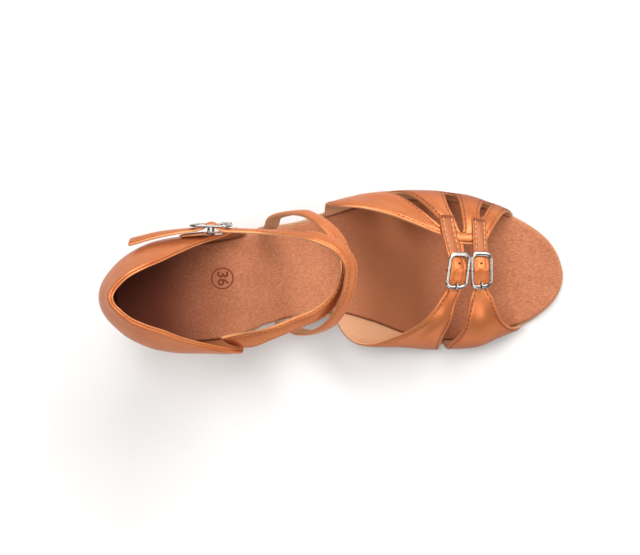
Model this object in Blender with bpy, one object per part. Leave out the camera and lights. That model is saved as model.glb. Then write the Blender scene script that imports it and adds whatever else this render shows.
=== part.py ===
"""Ladies' ballroom sandal for the left foot, built in metres with +Z up.

The origin is the centre of the heel's top piece on the floor. +X runs to the
toe, +Y to the little-toe side. Every form comes from one last: a foot bed with
its outline and height, and a foot surface over it that the straps lie on.
"""
from math import cos, pi, radians, sin

import bmesh
import bpy
import numpy as np

MM = 0.001

# Main sizes of the shoe
BED_LENGTH = 222 * MM
BALL_WIDTH = 74 * MM
HEEL_HEIGHT = 56 * MM
INSTEP_HEIGHT = 70 * MM
UPPER_SWELL = 8 * MM
GAP = 0.3 * MM
EDGE_GAP = 0.45 * MM

# Layers of the sole
OUTSOLE_WALL = 2.7 * MM
INSOLE_WALL = 3.5 * MM
TOP_PIECE_WALL = 5 * MM
RIM = 2.3 * MM

# Heel: where its breast and its top piece stand, from the back of the foot bed
BREAST_AT = 52 * MM
BREAST_GAP = 0.8 * MM
TOP_PIECE_BACK = 5.5 * MM
TOP_PIECE_LENGTH = 25 * MM
TOP_PIECE_WIDTH = 23 * MM

# Walls of the upper
COUNTER_WALL = 2.0 * MM
COUNTER_HEIGHT = 0.714 * INSTEP_HEIGHT
COUNTER_SWELL = 4.4 * MM
BAND_WALL = 1.6 * MM
STRAP_WALL = 1.6 * MM
STRAP_WIDTH = 9.5 * MM
TURN_UNDER = 3.0 * MM
ROOT_CLEARANCE = 1.0 * MM
ROOT_RISE = 2.0 * MM

# Buckles of the vamp and of the ankle strap
VAMP_BUCKLE_LENGTH = 18.5 * MM
VAMP_BUCKLE_WIDTH = 10.2 * MM
ANKLE_BUCKLE_LENGTH = 20 * MM
ANKLE_BUCKLE_WIDTH = 13.5 * MM
WIRE = 0.9 * MM
BAR_WIRE = 0.7 * MM
PRONG_WIRE = 0.6 * MM
BUCKLE_CORNER = 1.8 * MM
BAR_BEND = 0.6 * MM
PRONG_BEND = 1.1 * MM
PRONG_TIP = 1.2 * MM

HALF_BALL = BALL_WIDTH / 2
TOP_PIECE_CENTRE = TOP_PIECE_BACK + TOP_PIECE_LENGTH / 2
BALL_BED = OUTSOLE_WALL + GAP + INSOLE_WALL
SEAT_BED = HEEL_HEIGHT + GAP + INSOLE_WALL
LATERAL = 1
MEDIAL = -1
TOUCH = 1e-6

# The last, one row for each station. Columns: station as a share of the bed's
# length; outline to the lateral and the medial side as shares of half the
# ball's width; height of the bed as a share of the rise from ball to seat;
# crest of the foot surface over the bed as a share of the instep's height;
# the crest's side shift, as a share of half the ball's width; swell of the
# surface past the outline, lateral and medial, as shares of the upper's swell.
LAST = np.array([
    [0.00, 0.000, 0.000, 1.000, 0.74, 0.00, 0.40, 0.40],
    [0.02, 0.265, 0.265, 0.993, 0.77, 0.00, 0.40, 0.40],
    [0.06, 0.473, 0.473, 0.977, 0.81, 0.01, 0.40, 0.40],
    [0.11, 0.595, 0.595, 0.950, 0.86, 0.03, 0.45, 0.45],
    [0.17, 0.643, 0.643, 0.905, 0.91, 0.04, 0.55, 0.60],
    [0.24, 0.681, 0.622, 0.820, 0.97, 0.07, 0.60, 1.00],
    [0.32, 0.762, 0.481, 0.672, 1.00, 0.14, 0.80, 1.60],
    [0.40, 0.843, 0.384, 0.485, 0.97, 0.22, 0.95, 2.00],
    [0.48, 0.951, 0.368, 0.290, 0.87, 0.24, 0.64, 1.84],
    [0.56, 1.081, 0.514, 0.120, 0.75, 0.19, 0.49, 1.44],
    [0.64, 1.130, 0.724, 0.025, 0.64, 0.09, 0.41, 0.67],
    [0.71, 1.114, 0.838, 0.000, 0.56, 0.03, 0.39, 0.39],
    [0.78, 1.049, 0.838, 0.000, 0.47, 0.00, 0.39, 0.44],
    [0.85, 0.914, 0.746, 0.010, 0.40, 0.00, 0.31, 0.25],
    [0.91, 0.751, 0.638, 0.030, 0.33, 0.01, 0.19, 0.13],
    [0.96, 0.535, 0.465, 0.055, 0.27, 0.03, 0.07, 0.00],
    [1.00, -0.027, 0.027, 0.080, 0.22, 0.03, 0.00, 0.00],
])
AT, OUT_LATERAL, OUT_MEDIAL, RISE, CREST, CREST_SHIFT, SWELL_LATERAL, SWELL_MEDIAL = range(8)
SWELL_PEAK = 12 * MM

# Heel in levels. Columns: height as a share from the top piece to the seat;
# back, as a share of the top piece's setback; breast, as a share of the way
# from the top piece's front to the breast; width as a share of the way from
# the top piece's width to the seat's.
HEEL = np.array([
    [0.00, 1.00, 0.00, 0.00],
    [0.10, 1.18, -0.05, -0.06],
    [0.28, 1.42, -0.10, -0.11],
    [0.46, 1.42, -0.05, -0.03],
    [0.62, 1.15, 0.10, 0.18],
    [0.76, 0.72, 0.33, 0.45],
    [0.88, 0.31, 0.64, 0.74],
    [0.96, 0.06, 0.90, 0.94],
    [1.00, -0.42, 1.00, 1.00],
])

# Rim of the outsole past the bed's outline, as a share of the full rim: it is
# full where the upper stands on it and narrow at the waist and the open toe.
SOLE_RIM = np.array([
    # station, lateral, medial
    [0.000, 1.00, 1.00],
    [0.290, 1.00, 1.00],
    [0.335, 0.90, 0.60],
    [0.370, 0.80, 0.90],
    [0.420, 0.55, 0.50],
    [0.480, 1.00, 1.00],
    [0.890, 0.90, 0.90],
    [0.950, 0.25, 0.25],
    [1.000, 0.20, 0.20],
])

# Counter. Topline columns: station as a share of the bed's length; height over
# the bed as a share of the counter's height; how far the medial wall runs on
# past the waist, as a share of the counter's swell. Wall columns: height as a
# share of the counter's height; outset of the outer face from the bed's outline
# at the back and at the sides, as shares of the counter's swell.
TOPLINE = np.array([
    [0.00, 1.000, 0.00],
    [0.02, 0.990, 0.00],
    [0.05, 0.960, 0.05],
    [0.08, 0.905, 0.10],
    [0.12, 0.820, 0.15],
    [0.165, 0.700, 0.20],
    [0.20, 0.600, 0.35],
    [0.24, 0.500, 0.70],
    [0.27, 0.455, 1.05],
    [0.30, 0.430, 1.35],
])
TOP_HEIGHT, WAIST_RUN = range(1, 3)
WAIST_RUN_RISE = 0.2 * COUNTER_HEIGHT
COUNTER_SIDE = np.array([
    [-0.08, 0.52, 0.52],
    [0.00, 0.55, 0.55],
    [0.08, 0.72, 0.75],
    [0.18, 0.90, 0.95],
    [0.30, 1.00, 0.98],
    [0.44, 0.96, 0.78],
    [0.58, 0.68, 0.25],
    [0.72, 0.18, -0.50],
    [0.84, -0.38, -1.20],
    [1.00, -1.05, -2.00],
])
COUNTER_BACK_REACH = 0.13
COUNTER_BASE = {LATERAL: 0.298, MEDIAL: 0.284}
COUNTER_TIP = {LATERAL: 0.262, MEDIAL: 0.274}
COUNTER_LEVELS = [0.0, 0.06, 0.16, 0.28, 0.42, 0.56, 0.70, 0.85, 1.0]

# Edges of the vamp's bands. The first column is the way round the section,
# from 0 at the lateral outline over the crest to 1 at the medial outline. The
# others are stations of the edges, from the rear band to the front one.
LATERAL_EDGES = np.array([
    # way   A rear A front B rear B front C rear C front D rear D front
    [0.000, 0.470, 0.600, 0.612, 0.735, 0.747, 0.832, 0.846, 0.893],
    [0.060, 0.476, 0.610, 0.636, 0.736, 0.760, 0.829, 0.844, 0.886],
    [0.100, 0.492, 0.628, 0.658, 0.740, 0.768, 0.827, 0.843, 0.880],
    [0.200, 0.566, 0.674, 0.698, 0.748, 0.775, 0.817, 0.830, 0.863],
    [0.300, 0.668, 0.722, 0.734, 0.765, 0.778, 0.805, 0.818, 0.842],
    [0.360, 0.734, 0.742, 0.753, 0.769, 0.780, 0.799, 0.808, 0.829],
    [0.470, 0.742, 0.751, 0.763, 0.774, 0.784, 0.797, 0.809, 0.827],
])
MEDIAL_EDGES = np.array([
    # way   M1 rear M1 front M2 rear M2 front
    [0.230, 0.7310, 0.7580, 0.7990, 0.8260],
    [0.400, 0.7480, 0.7750, 0.7975, 0.8245],
    [0.540, 0.7345, 0.7615, 0.7950, 0.8220],
    [0.600, 0.7140, 0.7520, 0.7830, 0.8360],
    [0.700, 0.6800, 0.7390, 0.7720, 0.8470],
    [0.800, 0.6380, 0.7210, 0.7540, 0.8650],
    [0.880, 0.5920, 0.7130, 0.7320, 0.8820],
    [0.940, 0.5370, 0.7100, 0.7270, 0.8940],
    [1.000, 0.4770, 0.7050, 0.7210, 0.8990],
])
# Layer of the billets: the way round, and the outer face as a share of the way
# from the plain bands' layer to the next one over them
BILLET_LAYER = np.array([
    [0.20, 1.00],
    [0.40, 1.00],
    [0.445, 1.13],
    [0.48, 1.29],
    [0.515, 0.82],
    [0.55, 0.00],
    [0.60, 0.00],
    [1.00, 0.00],
])

# Strap routes. Columns: station as a share of the bed's length; place across
# as a share of half the ball's width; height over the bed as a share of the
# instep's height; upward turn of the outer face in degrees; width as a share
# of the strap's width.
INSTEP_STRAP = np.array([
    [0.362, 0.955, 0.198, -10, 1.0],
    [0.395, 0.995, 0.379, -4, 1.0],
    [0.440, 0.965, 0.623, 18, 1.0],
    [0.482, 0.790, 0.790, 32, 1.0],
    [0.514, 0.510, 0.906, 36, 1.0],
    [0.521, 0.210, 0.933, 31, 1.0],
    [0.503, -0.080, 0.877, 29, 1.0],
    [0.458, -0.335, 0.772, 36, 1.0],
    [0.400, -0.470, 0.643, 35, 1.0],
    [0.345, -0.585, 0.517, 26, 1.1],
    [0.290, -0.655, 0.369, 10, 1.25],
    [0.245, -0.655, 0.263, 4, 1.35],
])
ANKLE_STRAP = np.array([
    [0.385, -0.535, 0.210, -12, 1.0],
    [0.408, -0.600, 0.353, -8, 1.0],
    [0.446, -0.590, 0.554, 8, 1.0],
    [0.485, -0.460, 0.755, 24, 1.0],
    [0.512, -0.240, 0.893, 32, 1.0],
    [0.528, 0.010, 0.985, 34, 1.0],
    [0.532, 0.270, 1.042, 36, 1.0],
    [0.510, 0.490, 1.039, 36, 1.0],
    [0.470, 0.630, 0.959, 32, 1.0],
    [0.415, 0.705, 0.806, 22, 1.0],
    [0.350, 0.755, 0.626, 14, 1.0],
    [0.270, 0.800, 0.475, 14, 1.0],
    [0.185, 0.830, 0.364, 14, 1.0],
    [0.120, 0.800, 0.319, 12, 1.0],
    [0.050, 0.720, 0.285, 8, 1.0],
])
INSTEP_ROOT = (LATERAL, 0.342)
ANKLE_ROOT = (MEDIAL, 0.368)
INSTEP_STRAP_STEPS = 46
ANKLE_STRAP_STEPS = 60

# Where the buckles sit: the vamp's centre bars on the way round the section,
# the ankle buckle's bar and its hole at steps of its strap, and the tab's root
VAMP_BAR_WAY = 0.478
GAPS_START = 0.07
CHAPES_START = 0.35
BILLET_HOLE = (0.505, 0.525)
BILLET_SPLIT = 0.87
ANKLE_BAR_STEPS = 47
ANKLE_HOLE_STEPS = 45
TAB_WIDTH = 8 * MM
TAB_WALL = 1.4 * MM
TAB_ROOT_AT = 0.165
TAB_ROOT_HEIGHT = 0.42 * COUNTER_HEIGHT


def share(x, knots, values):
    """Smooth curve through the knots that never swings past them."""
    x = np.asarray(x, float)
    steps = np.diff(knots)
    rates = np.diff(values) / steps
    slopes = np.zeros(len(knots))
    slopes[0] = rates[0]
    slopes[-1] = rates[-1]
    for i in range(1, len(knots) - 1):
        if rates[i - 1] * rates[i] > 0:
            ahead = 2 * steps[i] + steps[i - 1]
            behind = steps[i] + 2 * steps[i - 1]
            slopes[i] = (ahead + behind) / (ahead / rates[i - 1] + behind / rates[i])
    at = np.clip(np.searchsorted(knots, x) - 1, 0, len(knots) - 2)
    step = steps[at]
    s = np.clip((x - knots[at]) / step, 0, 1)
    return ((1 + 2 * s) * (1 - s) ** 2 * values[at] + s * (1 - s) ** 2 * step * slopes[at]
            + s * s * (3 - 2 * s) * values[at + 1] + s * s * (s - 1) * step * slopes[at + 1])


def column(table, name, x):
    return share(x, table[:, 0], table[:, name])


def turn_of(station):
    """Stations are spaced as on a half circle, which keeps both ends round."""
    return np.arccos(np.clip(1 - 2 * np.asarray(station, float), -1, 1))


def station_of(turn):
    return (1 - np.cos(turn)) / 2


def outline(side, station):
    """Distance of the bed's outline from its centre line."""
    name = OUT_LATERAL if side > 0 else OUT_MEDIAL
    return HALF_BALL * share(turn_of(station), turn_of(LAST[:, AT]), LAST[:, name])


def bed_height(station):
    return BALL_BED + (SEAT_BED - BALL_BED) * column(LAST, RISE, station)


def bed_point(x, y, depth):
    """Point under the bed's surface, square to its slope. x is from the back of the bed."""
    nudge = 0.5 * MM
    station = np.clip(x / BED_LENGTH, 0, 1)
    ahead = bed_height(np.clip((x + nudge) / BED_LENGTH, 0, 1))
    behind = bed_height(np.clip((x - nudge) / BED_LENGTH, 0, 1))
    slope = (ahead - behind) / (2 * nudge)
    length = np.sqrt(1 + slope ** 2)
    return np.stack([x + depth * slope / length, y, bed_height(station) - depth / length], -1)


def rim_plan(side, turn, margin):
    """Outline seen from above, moved outwards by a margin."""
    nudge = 1e-3
    here = np.asarray(turn, float)

    def plan(angle):
        station = station_of(angle)
        beyond = np.where(angle < 0, -1.0, 1.0)
        return BED_LENGTH * station, side * beyond * outline(side, station)

    x, y = plan(here)
    x_ahead, y_ahead = plan(np.minimum(here + nudge, pi))
    x_behind, y_behind = plan(here - nudge)
    along_x = x_ahead - x_behind
    along_y = y_ahead - y_behind
    length = np.hypot(along_x, along_y)
    return x - side * along_y / length * margin, y + side * along_x / length * margin


def edge_point(side, station, out, under):
    """Point beside the bed's edge, out from its outline and under its surface."""
    x, y = rim_plan(side, turn_of(station), out)
    return bed_point(x, y, under)


def last_point(station, way, out):
    """Point over the last, out from its surface, at a way from 0 to 1 round the section.

    A way below 0 or above 1 is a depth in metres under the bed, beside its edge.
    """
    nudge = 1e-3

    def bare(station, way):
        station = np.clip(station, 0, 1)
        angle = np.clip(way, 0, 1) * pi
        crest = INSTEP_HEIGHT * column(LAST, CREST, station)
        shift = HALF_BALL * column(LAST, CREST_SHIFT, station)
        height = crest * np.sin(angle) ** 0.95
        across = np.abs(np.cos(angle)) ** 0.9
        bump = height / SWELL_PEAK * np.exp(1 - height / SWELL_PEAK) * np.abs(np.cos(angle))
        lateral = shift + (outline(LATERAL, station) - shift) * across
        lateral = lateral + UPPER_SWELL * column(LAST, SWELL_LATERAL, station) * bump
        medial = shift - (outline(MEDIAL, station) + shift) * across
        medial = medial - UPPER_SWELL * column(LAST, SWELL_MEDIAL, station) * bump
        y = np.where(way < 0.5, lateral, medial)
        return np.stack([BED_LENGTH * station + 0 * y, y, bed_height(station) + height], -1)

    station, way = np.broadcast_arrays(np.asarray(station, float), np.asarray(way, float))
    along = bare(station + nudge, way) - bare(station - nudge, way)
    inner = np.clip(way, nudge, 1 - nudge)
    around = bare(station, inner + nudge) - bare(station, inner - nudge)
    normal = np.cross(around, along)
    normal /= np.linalg.norm(normal, axis=-1, keepdims=True)
    out = np.broadcast_to(out, station.shape)
    over = bare(station, way) + normal * out[..., None]
    lateral = edge_point(LATERAL, station, out, np.maximum(-way, 0))
    medial = edge_point(MEDIAL, station, out, np.maximum(way - 1, 0))
    over = np.where((way <= 0)[..., None], lateral, over)
    return np.where((way >= 1)[..., None], medial, over)


def counter_point(side, station, height, out):
    """Point of the counter's outer face, moved outwards by out."""
    back = share(height / COUNTER_HEIGHT, COUNTER_SIDE[:, 0], COUNTER_SIDE[:, 1])
    flank = share(height / COUNTER_HEIGHT, COUNTER_SIDE[:, 0], COUNTER_SIDE[:, 2])
    blend = np.clip(station / COUNTER_BACK_REACH, 0, 1)
    blend = blend * blend * (3 - 2 * blend)
    run = column(TOPLINE, WAIST_RUN, station) if side == MEDIAL else 0
    run = run * np.clip(height / WAIST_RUN_RISE, 0, 1)
    outset = COUNTER_SWELL * (back + (flank - back) * blend + run) + out
    x, y = rim_plan(side, turn_of(station), outset)
    return np.stack([x, y, bed_height(station) + height], -1)


def material(name, colour, roughness, metallic=0.0):
    made = bpy.data.materials.new(name)
    made.use_nodes = True
    shader = made.node_tree.nodes["Principled BSDF"]
    shader.inputs["Base Color"].default_value = (*colour, 1)
    shader.inputs["Roughness"].default_value = roughness
    shader.inputs["Metallic"].default_value = metallic
    return made


def add_object(name, mesh_data, finish):
    """Give the mesh its name and material and stand it over the heel's centre."""
    mesh_data.materials.append(finish)
    made = bpy.data.objects.new(name, mesh_data)
    made.location.x = -TOP_PIECE_CENTRE
    bpy.context.scene.collection.objects.link(made)
    return made


def shell(name, outer, inner, finish, kept=None):
    """Closed wall between two sheets of points; kept says which faces exist."""
    rows, columns = outer.shape[:2]
    mesh = bmesh.new()
    front = [[mesh.verts.new(point) for point in row] for row in outer]
    back = [[mesh.verts.new(point) for point in row] for row in inner]

    def has(row, col):
        inside = 0 <= row < rows - 1 and 0 <= col < columns - 1
        return inside and (kept is None or kept[row][col])

    for r in range(rows - 1):
        for c in range(columns - 1):
            if not has(r, c):
                continue
            ring = [(r, c), (r + 1, c), (r + 1, c + 1), (r, c + 1)]
            mesh.faces.new([front[i][j] for i, j in ring])
            mesh.faces.new([back[i][j] for i, j in reversed(ring)])
            beside = [(r, c - 1), (r + 1, c), (r, c + 1), (r - 1, c)]
            for k, neighbour in enumerate(beside):
                if not has(*neighbour):
                    a, b = ring[k], ring[(k + 1) % 4]
                    mesh.faces.new([front[b[0]][b[1]], front[a[0]][a[1]],
                                    back[a[0]][a[1]], back[b[0]][b[1]]])
    loose = [v for v in mesh.verts if not v.link_faces]
    bmesh.ops.delete(mesh, geom=loose, context="VERTS")
    bmesh.ops.remove_doubles(mesh, verts=mesh.verts, dist=TOUCH)
    if mesh.calc_volume(signed=True) < 0:
        bmesh.ops.reverse_faces(mesh, faces=mesh.faces)
    data = bpy.data.meshes.new(name)
    mesh.to_mesh(data)
    mesh.free()
    data.shade_smooth()
    data.set_sharp_from_angle(angle=radians(40))
    return add_object(name, data, finish)


def ladder(name, loops, finish):
    """Loft closed loops; the two end faces are bridged side to side."""
    mesh = bmesh.new()
    rings = [[mesh.verts.new(point) for point in loop] for loop in loops]
    count = len(rings[0])
    for low, high in zip(rings, rings[1:]):
        for k in range(count):
            after = (k + 1) % count
            mesh.faces.new([low[k], low[after], high[after], high[k]])
    for ring in (rings[0], rings[-1]):
        for k in range(count // 2):
            corners = [ring[k], ring[k + 1], ring[count - 2 - k], ring[count - 1 - k]]
            mesh.faces.new(list(dict.fromkeys(corners)))
    bmesh.ops.recalc_face_normals(mesh, faces=mesh.faces)
    data = bpy.data.meshes.new(name)
    mesh.to_mesh(data)
    mesh.free()
    data.shade_smooth()
    data.set_sharp_from_angle(angle=radians(35))
    return add_object(name, data, finish)


def sole_plate(name, margin, top, bottom, start, stations, lanes, finish):
    """Layer of the sole between two depths under the bed, from start to the toe."""
    turns = np.linspace(turn_of(start / BED_LENGTH), pi, stations)
    along = station_of(turns)
    x_left, y_left = rim_plan(LATERAL, turns, margin * column(SOLE_RIM, 1, along))
    x_right, y_right = rim_plan(MEDIAL, turns, margin * column(SOLE_RIM, 2, along))
    across = np.linspace(0, 1, lanes)[None, :]
    x = x_left[:, None] * (1 - across) + x_right[:, None] * across
    y = y_left[:, None] * (1 - across) + y_right[:, None] * across
    return shell(name, bed_point(x, y, top), bed_point(x, y, bottom), finish)


def seat_outline(count):
    """Seat's outline from the breast round the back, as shares of its box."""
    turns = np.linspace(turn_of(BREAST_AT / BED_LENGTH), 0, count)
    x_left, y_left = rim_plan(LATERAL, turns, RIM)
    x_right, y_right = rim_plan(MEDIAL, turns[::-1][1:], RIM)
    x = np.concatenate([x_left, x_right])
    y = np.concatenate([y_left, y_right])
    return x, y


def heel_loop(level, x, y):
    height, back, breast, width = level
    front_low = TOP_PIECE_BACK + TOP_PIECE_LENGTH
    front = front_low + (x.max() - front_low) * breast
    rear = TOP_PIECE_BACK * back
    half_seat = np.abs(y).max()
    half = TOP_PIECE_WIDTH / 2 + (half_seat - TOP_PIECE_WIDTH / 2) * width
    along = (x - x.min()) / (x.max() - x.min())
    low = TOP_PIECE_WALL + GAP
    seat = bed_point(x, y, INSOLE_WALL + GAP)
    loop_x = rear + (front - rear) * along
    loop_z = low + (seat[:, 2] - low) * height
    loop = np.stack([loop_x, y / half_seat * half, loop_z], -1)
    if height == 1:
        loop = seat
    return loop


def build_sole(suede, satin, rubber):
    sole_plate("insole", 0, 0, INSOLE_WALL, 0, 40, 5, suede)
    under = INSOLE_WALL + GAP
    sole_plate("outsole", RIM, under, under + OUTSOLE_WALL, BREAST_AT + BREAST_GAP, 30, 5, suede)
    x, y = seat_outline(13)
    loops = [heel_loop(level, x, y) for level in HEEL]
    ladder("heel_block", loops, satin)
    foot = loops[0].copy()
    foot[:, 2] = TOP_PIECE_WALL
    floor = foot.copy()
    floor[:, 2] = 0
    ladder("heel_top_piece", [floor, foot], rubber)


def build_counter(satin):
    around = np.linspace(-1, 1, 35)
    outer = []
    inner = []
    for level in COUNTER_LEVELS:
        row_out = []
        row_in = []
        for step in around:
            side = LATERAL if step >= 0 else MEDIAL
            end = COUNTER_BASE[side] + (COUNTER_TIP[side] - COUNTER_BASE[side]) * level
            station = station_of(abs(step) * turn_of(end))
            low = -TURN_UNDER
            high = COUNTER_HEIGHT * column(TOPLINE, TOP_HEIGHT, station)
            height = low + (high - low) * level
            row_out.append(counter_point(side, station, height, 0))
            row_in.append(counter_point(side, station, height, -COUNTER_WALL))
        outer.append(row_out)
        inner.append(row_in)
    shell("heel_counter", np.array(outer), np.array(inner), satin)


def band_stations(edges, ways, strips):
    """Stations of a grid whose columns run along the bands' edges."""
    lines = [share(ways, edges[:, 0], edges[:, k]) for k in range(1, edges.shape[1])]
    stations = []
    for k, (left, right) in enumerate(zip(lines, lines[1:])):
        for step in range(strips[k]):
            stations.append(left + (right - left) * step / strips[k])
    stations.append(lines[-1])
    return np.stack(stations, -1)


def build_vamp_lateral(satin):
    """Four bands from the lateral side, joined at the sole and before the buckles."""
    ways = np.array([0, 0.03, 0.07, 0.11, 0.15, 0.19, 0.23, 0.265, 0.30, 0.33, 0.36, 0.41, 0.471])
    strips = [4, 1, 3, 1, 3, 1, 2]
    gap_ab, gap_bc, gap_cd = 4, 8, 12
    stations = band_stations(LATERAL_EDGES, ways, strips)
    stations = np.vstack([stations[:1], stations])
    rows = np.concatenate([[-TURN_UNDER], ways])
    grid = np.repeat(rows[:, None], stations.shape[1], 1)
    outer = last_point(stations, grid, EDGE_GAP + BAND_WALL)
    inner = last_point(stations, grid, EDGE_GAP)
    gap_end = {gap_ab: 0.30, gap_bc: 0.30, gap_cd: 0.23}
    chapes = [*range(0, 8), *range(12, 15)]
    kept = []
    for low, high in zip(rows, rows[1:]):
        row = []
        for col in range(stations.shape[1] - 1):
            is_open = low > GAPS_START - TOUCH and high < gap_end.get(col, 0) + TOUCH
            row.append(not is_open and (low < CHAPES_START or col in chapes))
        kept.append(row)
    shell("vamp_lateral", outer, inner, satin, kept)


def billet_face(way):
    """Height of the medial bands' outer face over the last."""
    return EDGE_GAP + BAND_WALL + (GAP + BAND_WALL) * column(BILLET_LAYER, 1, way)


def build_vamp_medial(satin):
    """Two bands from the medial side that narrow to the buckles' billets."""
    ways = np.array([0.26, 0.30, 0.34, 0.38, 0.415, 0.445, 0.48, 0.505, 0.525, 0.55, 0.58, 0.63,
                     0.69, 0.75, 0.81, 0.86, 0.91, 0.96, 1.0])
    strips = [6, 1, 4]
    slit = 6
    holes = (2, 3, 8, 9)
    stations = band_stations(MEDIAL_EDGES, ways, strips)
    stations = np.vstack([stations, stations[-1:]])
    rows = np.concatenate([ways, [1 + TURN_UNDER]])
    grid = np.repeat(rows[:, None], stations.shape[1], 1)
    face = billet_face(rows)[:, None]
    outer = last_point(stations, grid, face)
    inner = last_point(stations, grid, face - BAND_WALL)
    kept = []
    for low, high in zip(rows, rows[1:]):
        holed = abs(low - BILLET_HOLE[0]) < TOUCH
        row = [not (col == slit and high < BILLET_SPLIT) and not (col in holes and holed)
               for col in range(stations.shape[1] - 1)]
        kept.append(row)
    shell("vamp_medial", outer, inner, satin, kept)


def strap_route(root, table, count):
    """Centre line, outward direction and width of a strap from its root at the sole."""
    side, station = root
    x, y = rim_plan(side, turn_of(station), ROOT_CLEARANCE + STRAP_WALL / 2)
    low = bed_point(x, y, TURN_UNDER)
    high = bed_point(x, y, -ROOT_RISE)
    points = [low, high]
    lifts = [0, 0]
    widths = [1, 1]
    for along, across, height, lift, width in table:
        over = bed_height(along) + height * INSTEP_HEIGHT
        points.append(np.array([along * BED_LENGTH, across * HALF_BALL, over]))
        lifts.append(lift)
        widths.append(width)
    points = np.array(points)
    steps = np.linalg.norm(np.diff(points, axis=0), axis=1)
    knots = np.concatenate([[0], np.cumsum(steps)])
    places = np.linspace(0, knots[-1], count)
    route = np.stack([rounded(places, knots, points[:, k]) for k in range(3)], -1)
    lift = rounded(places, knots, np.array(lifts, float))
    width = rounded(places, knots, np.array(widths, float))
    return route, np.radians(lift), width


def rounded(x, knots, values):
    """Curve through all knots with slopes from each knot's neighbours."""
    slopes = np.gradient(values, knots)
    at = np.clip(np.searchsorted(knots, x) - 1, 0, len(knots) - 2)
    step = np.diff(knots)[at]
    s = (x - knots[at]) / step
    return ((1 + 2 * s) * (1 - s) ** 2 * values[at] + s * (1 - s) ** 2 * step * slopes[at]
            + s * s * (3 - 2 * s) * values[at + 1] + s * s * (s - 1) * step * slopes[at + 1])


def unit(vectors):
    return vectors / np.linalg.norm(vectors, axis=-1, keepdims=True)


def strap_frames(root, route, lift):
    """Direction along, outwards and across the strap at each point."""
    side = root[0]
    along = unit(np.gradient(route, axis=0))
    flat = along * np.array([1, 1, 0])
    level = unit(np.stack([-flat[:, 1], flat[:, 0], 0 * flat[:, 0]], -1)) * side
    # at the root the strap rises, so its outward side is square to the sole's edge
    turn = turn_of(root[1])
    out_x, out_y = np.subtract(rim_plan(side, turn, MM), rim_plan(side, turn, 0)) / MM
    steep = np.clip(np.abs(along[:, 2:]) * 2 - 1, 0, 1)
    level = unit(level * (1 - steep) + np.array([out_x, out_y, 0]) * steep)
    outwards = level * np.cos(lift)[:, None] + np.array([0, 0, 1]) * np.sin(lift)[:, None]
    outwards = unit(outwards - along * np.sum(outwards * along, -1, keepdims=True))
    across = unit(np.cross(along, outwards))
    return along, outwards, across


def build_strap(name, root, table, count, satin, hole=None):
    route, lift, width = strap_route(root, table, count)
    along, outwards, across = strap_frames(root, route, lift)
    lanes = np.array([-0.5, -0.17, 0.17, 0.5])
    spread = across[:, None, :] * lanes[None, :, None] * (STRAP_WIDTH * width)[:, None, None]
    outer = route[:, None, :] + spread + outwards[:, None, :] * STRAP_WALL / 2
    inner = route[:, None, :] + spread - outwards[:, None, :] * STRAP_WALL / 2
    kept = [[not (row == hole and lane == 1) for lane in range(3)] for row in range(count - 1)]
    shell(name, outer, inner, satin, kept)


def tube(name, points, reference, radius, finish, sides=8, closed=False):
    """Round wire along a path; the reference is a direction square to the path."""
    points = np.asarray(points)
    if closed:
        along = np.roll(points, -1, 0) - np.roll(points, 1, 0)
    else:
        along = np.gradient(points, axis=0)
    along = unit(along)
    reference = unit(np.broadcast_to(reference, points.shape))
    beside = unit(np.cross(along, reference))
    above = np.cross(beside, along)
    mesh = bmesh.new()
    rings = []
    for point, side_way, up_way in zip(points, beside, above):
        ring = []
        for k in range(sides):
            angle = 2 * pi * k / sides
            ring.append(mesh.verts.new(point + radius * (cos(angle) * side_way + sin(angle) * up_way)))
        rings.append(ring)
    follows = rings[1:] + rings[:1] if closed else rings[1:]
    for ring, after in zip(rings, follows):
        for k in range(sides):
            mesh.faces.new([ring[k], ring[k - 1], after[k - 1], after[k]])
    if not closed:
        mesh.faces.new(rings[0])
        mesh.faces.new(rings[-1])
    bmesh.ops.recalc_face_normals(mesh, faces=mesh.faces)
    data = bpy.data.meshes.new(name)
    mesh.to_mesh(data)
    mesh.free()
    data.shade_smooth()
    return add_object(name, data, finish)


def fuse(body, addition):
    """Join a hidden guide solid to a body with a Boolean union."""
    addition.hide_render = True
    addition.display_type = "WIRE"
    join = body.modifiers.new("bar", "BOOLEAN")
    join.operation = "UNION"
    join.object = addition


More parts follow.
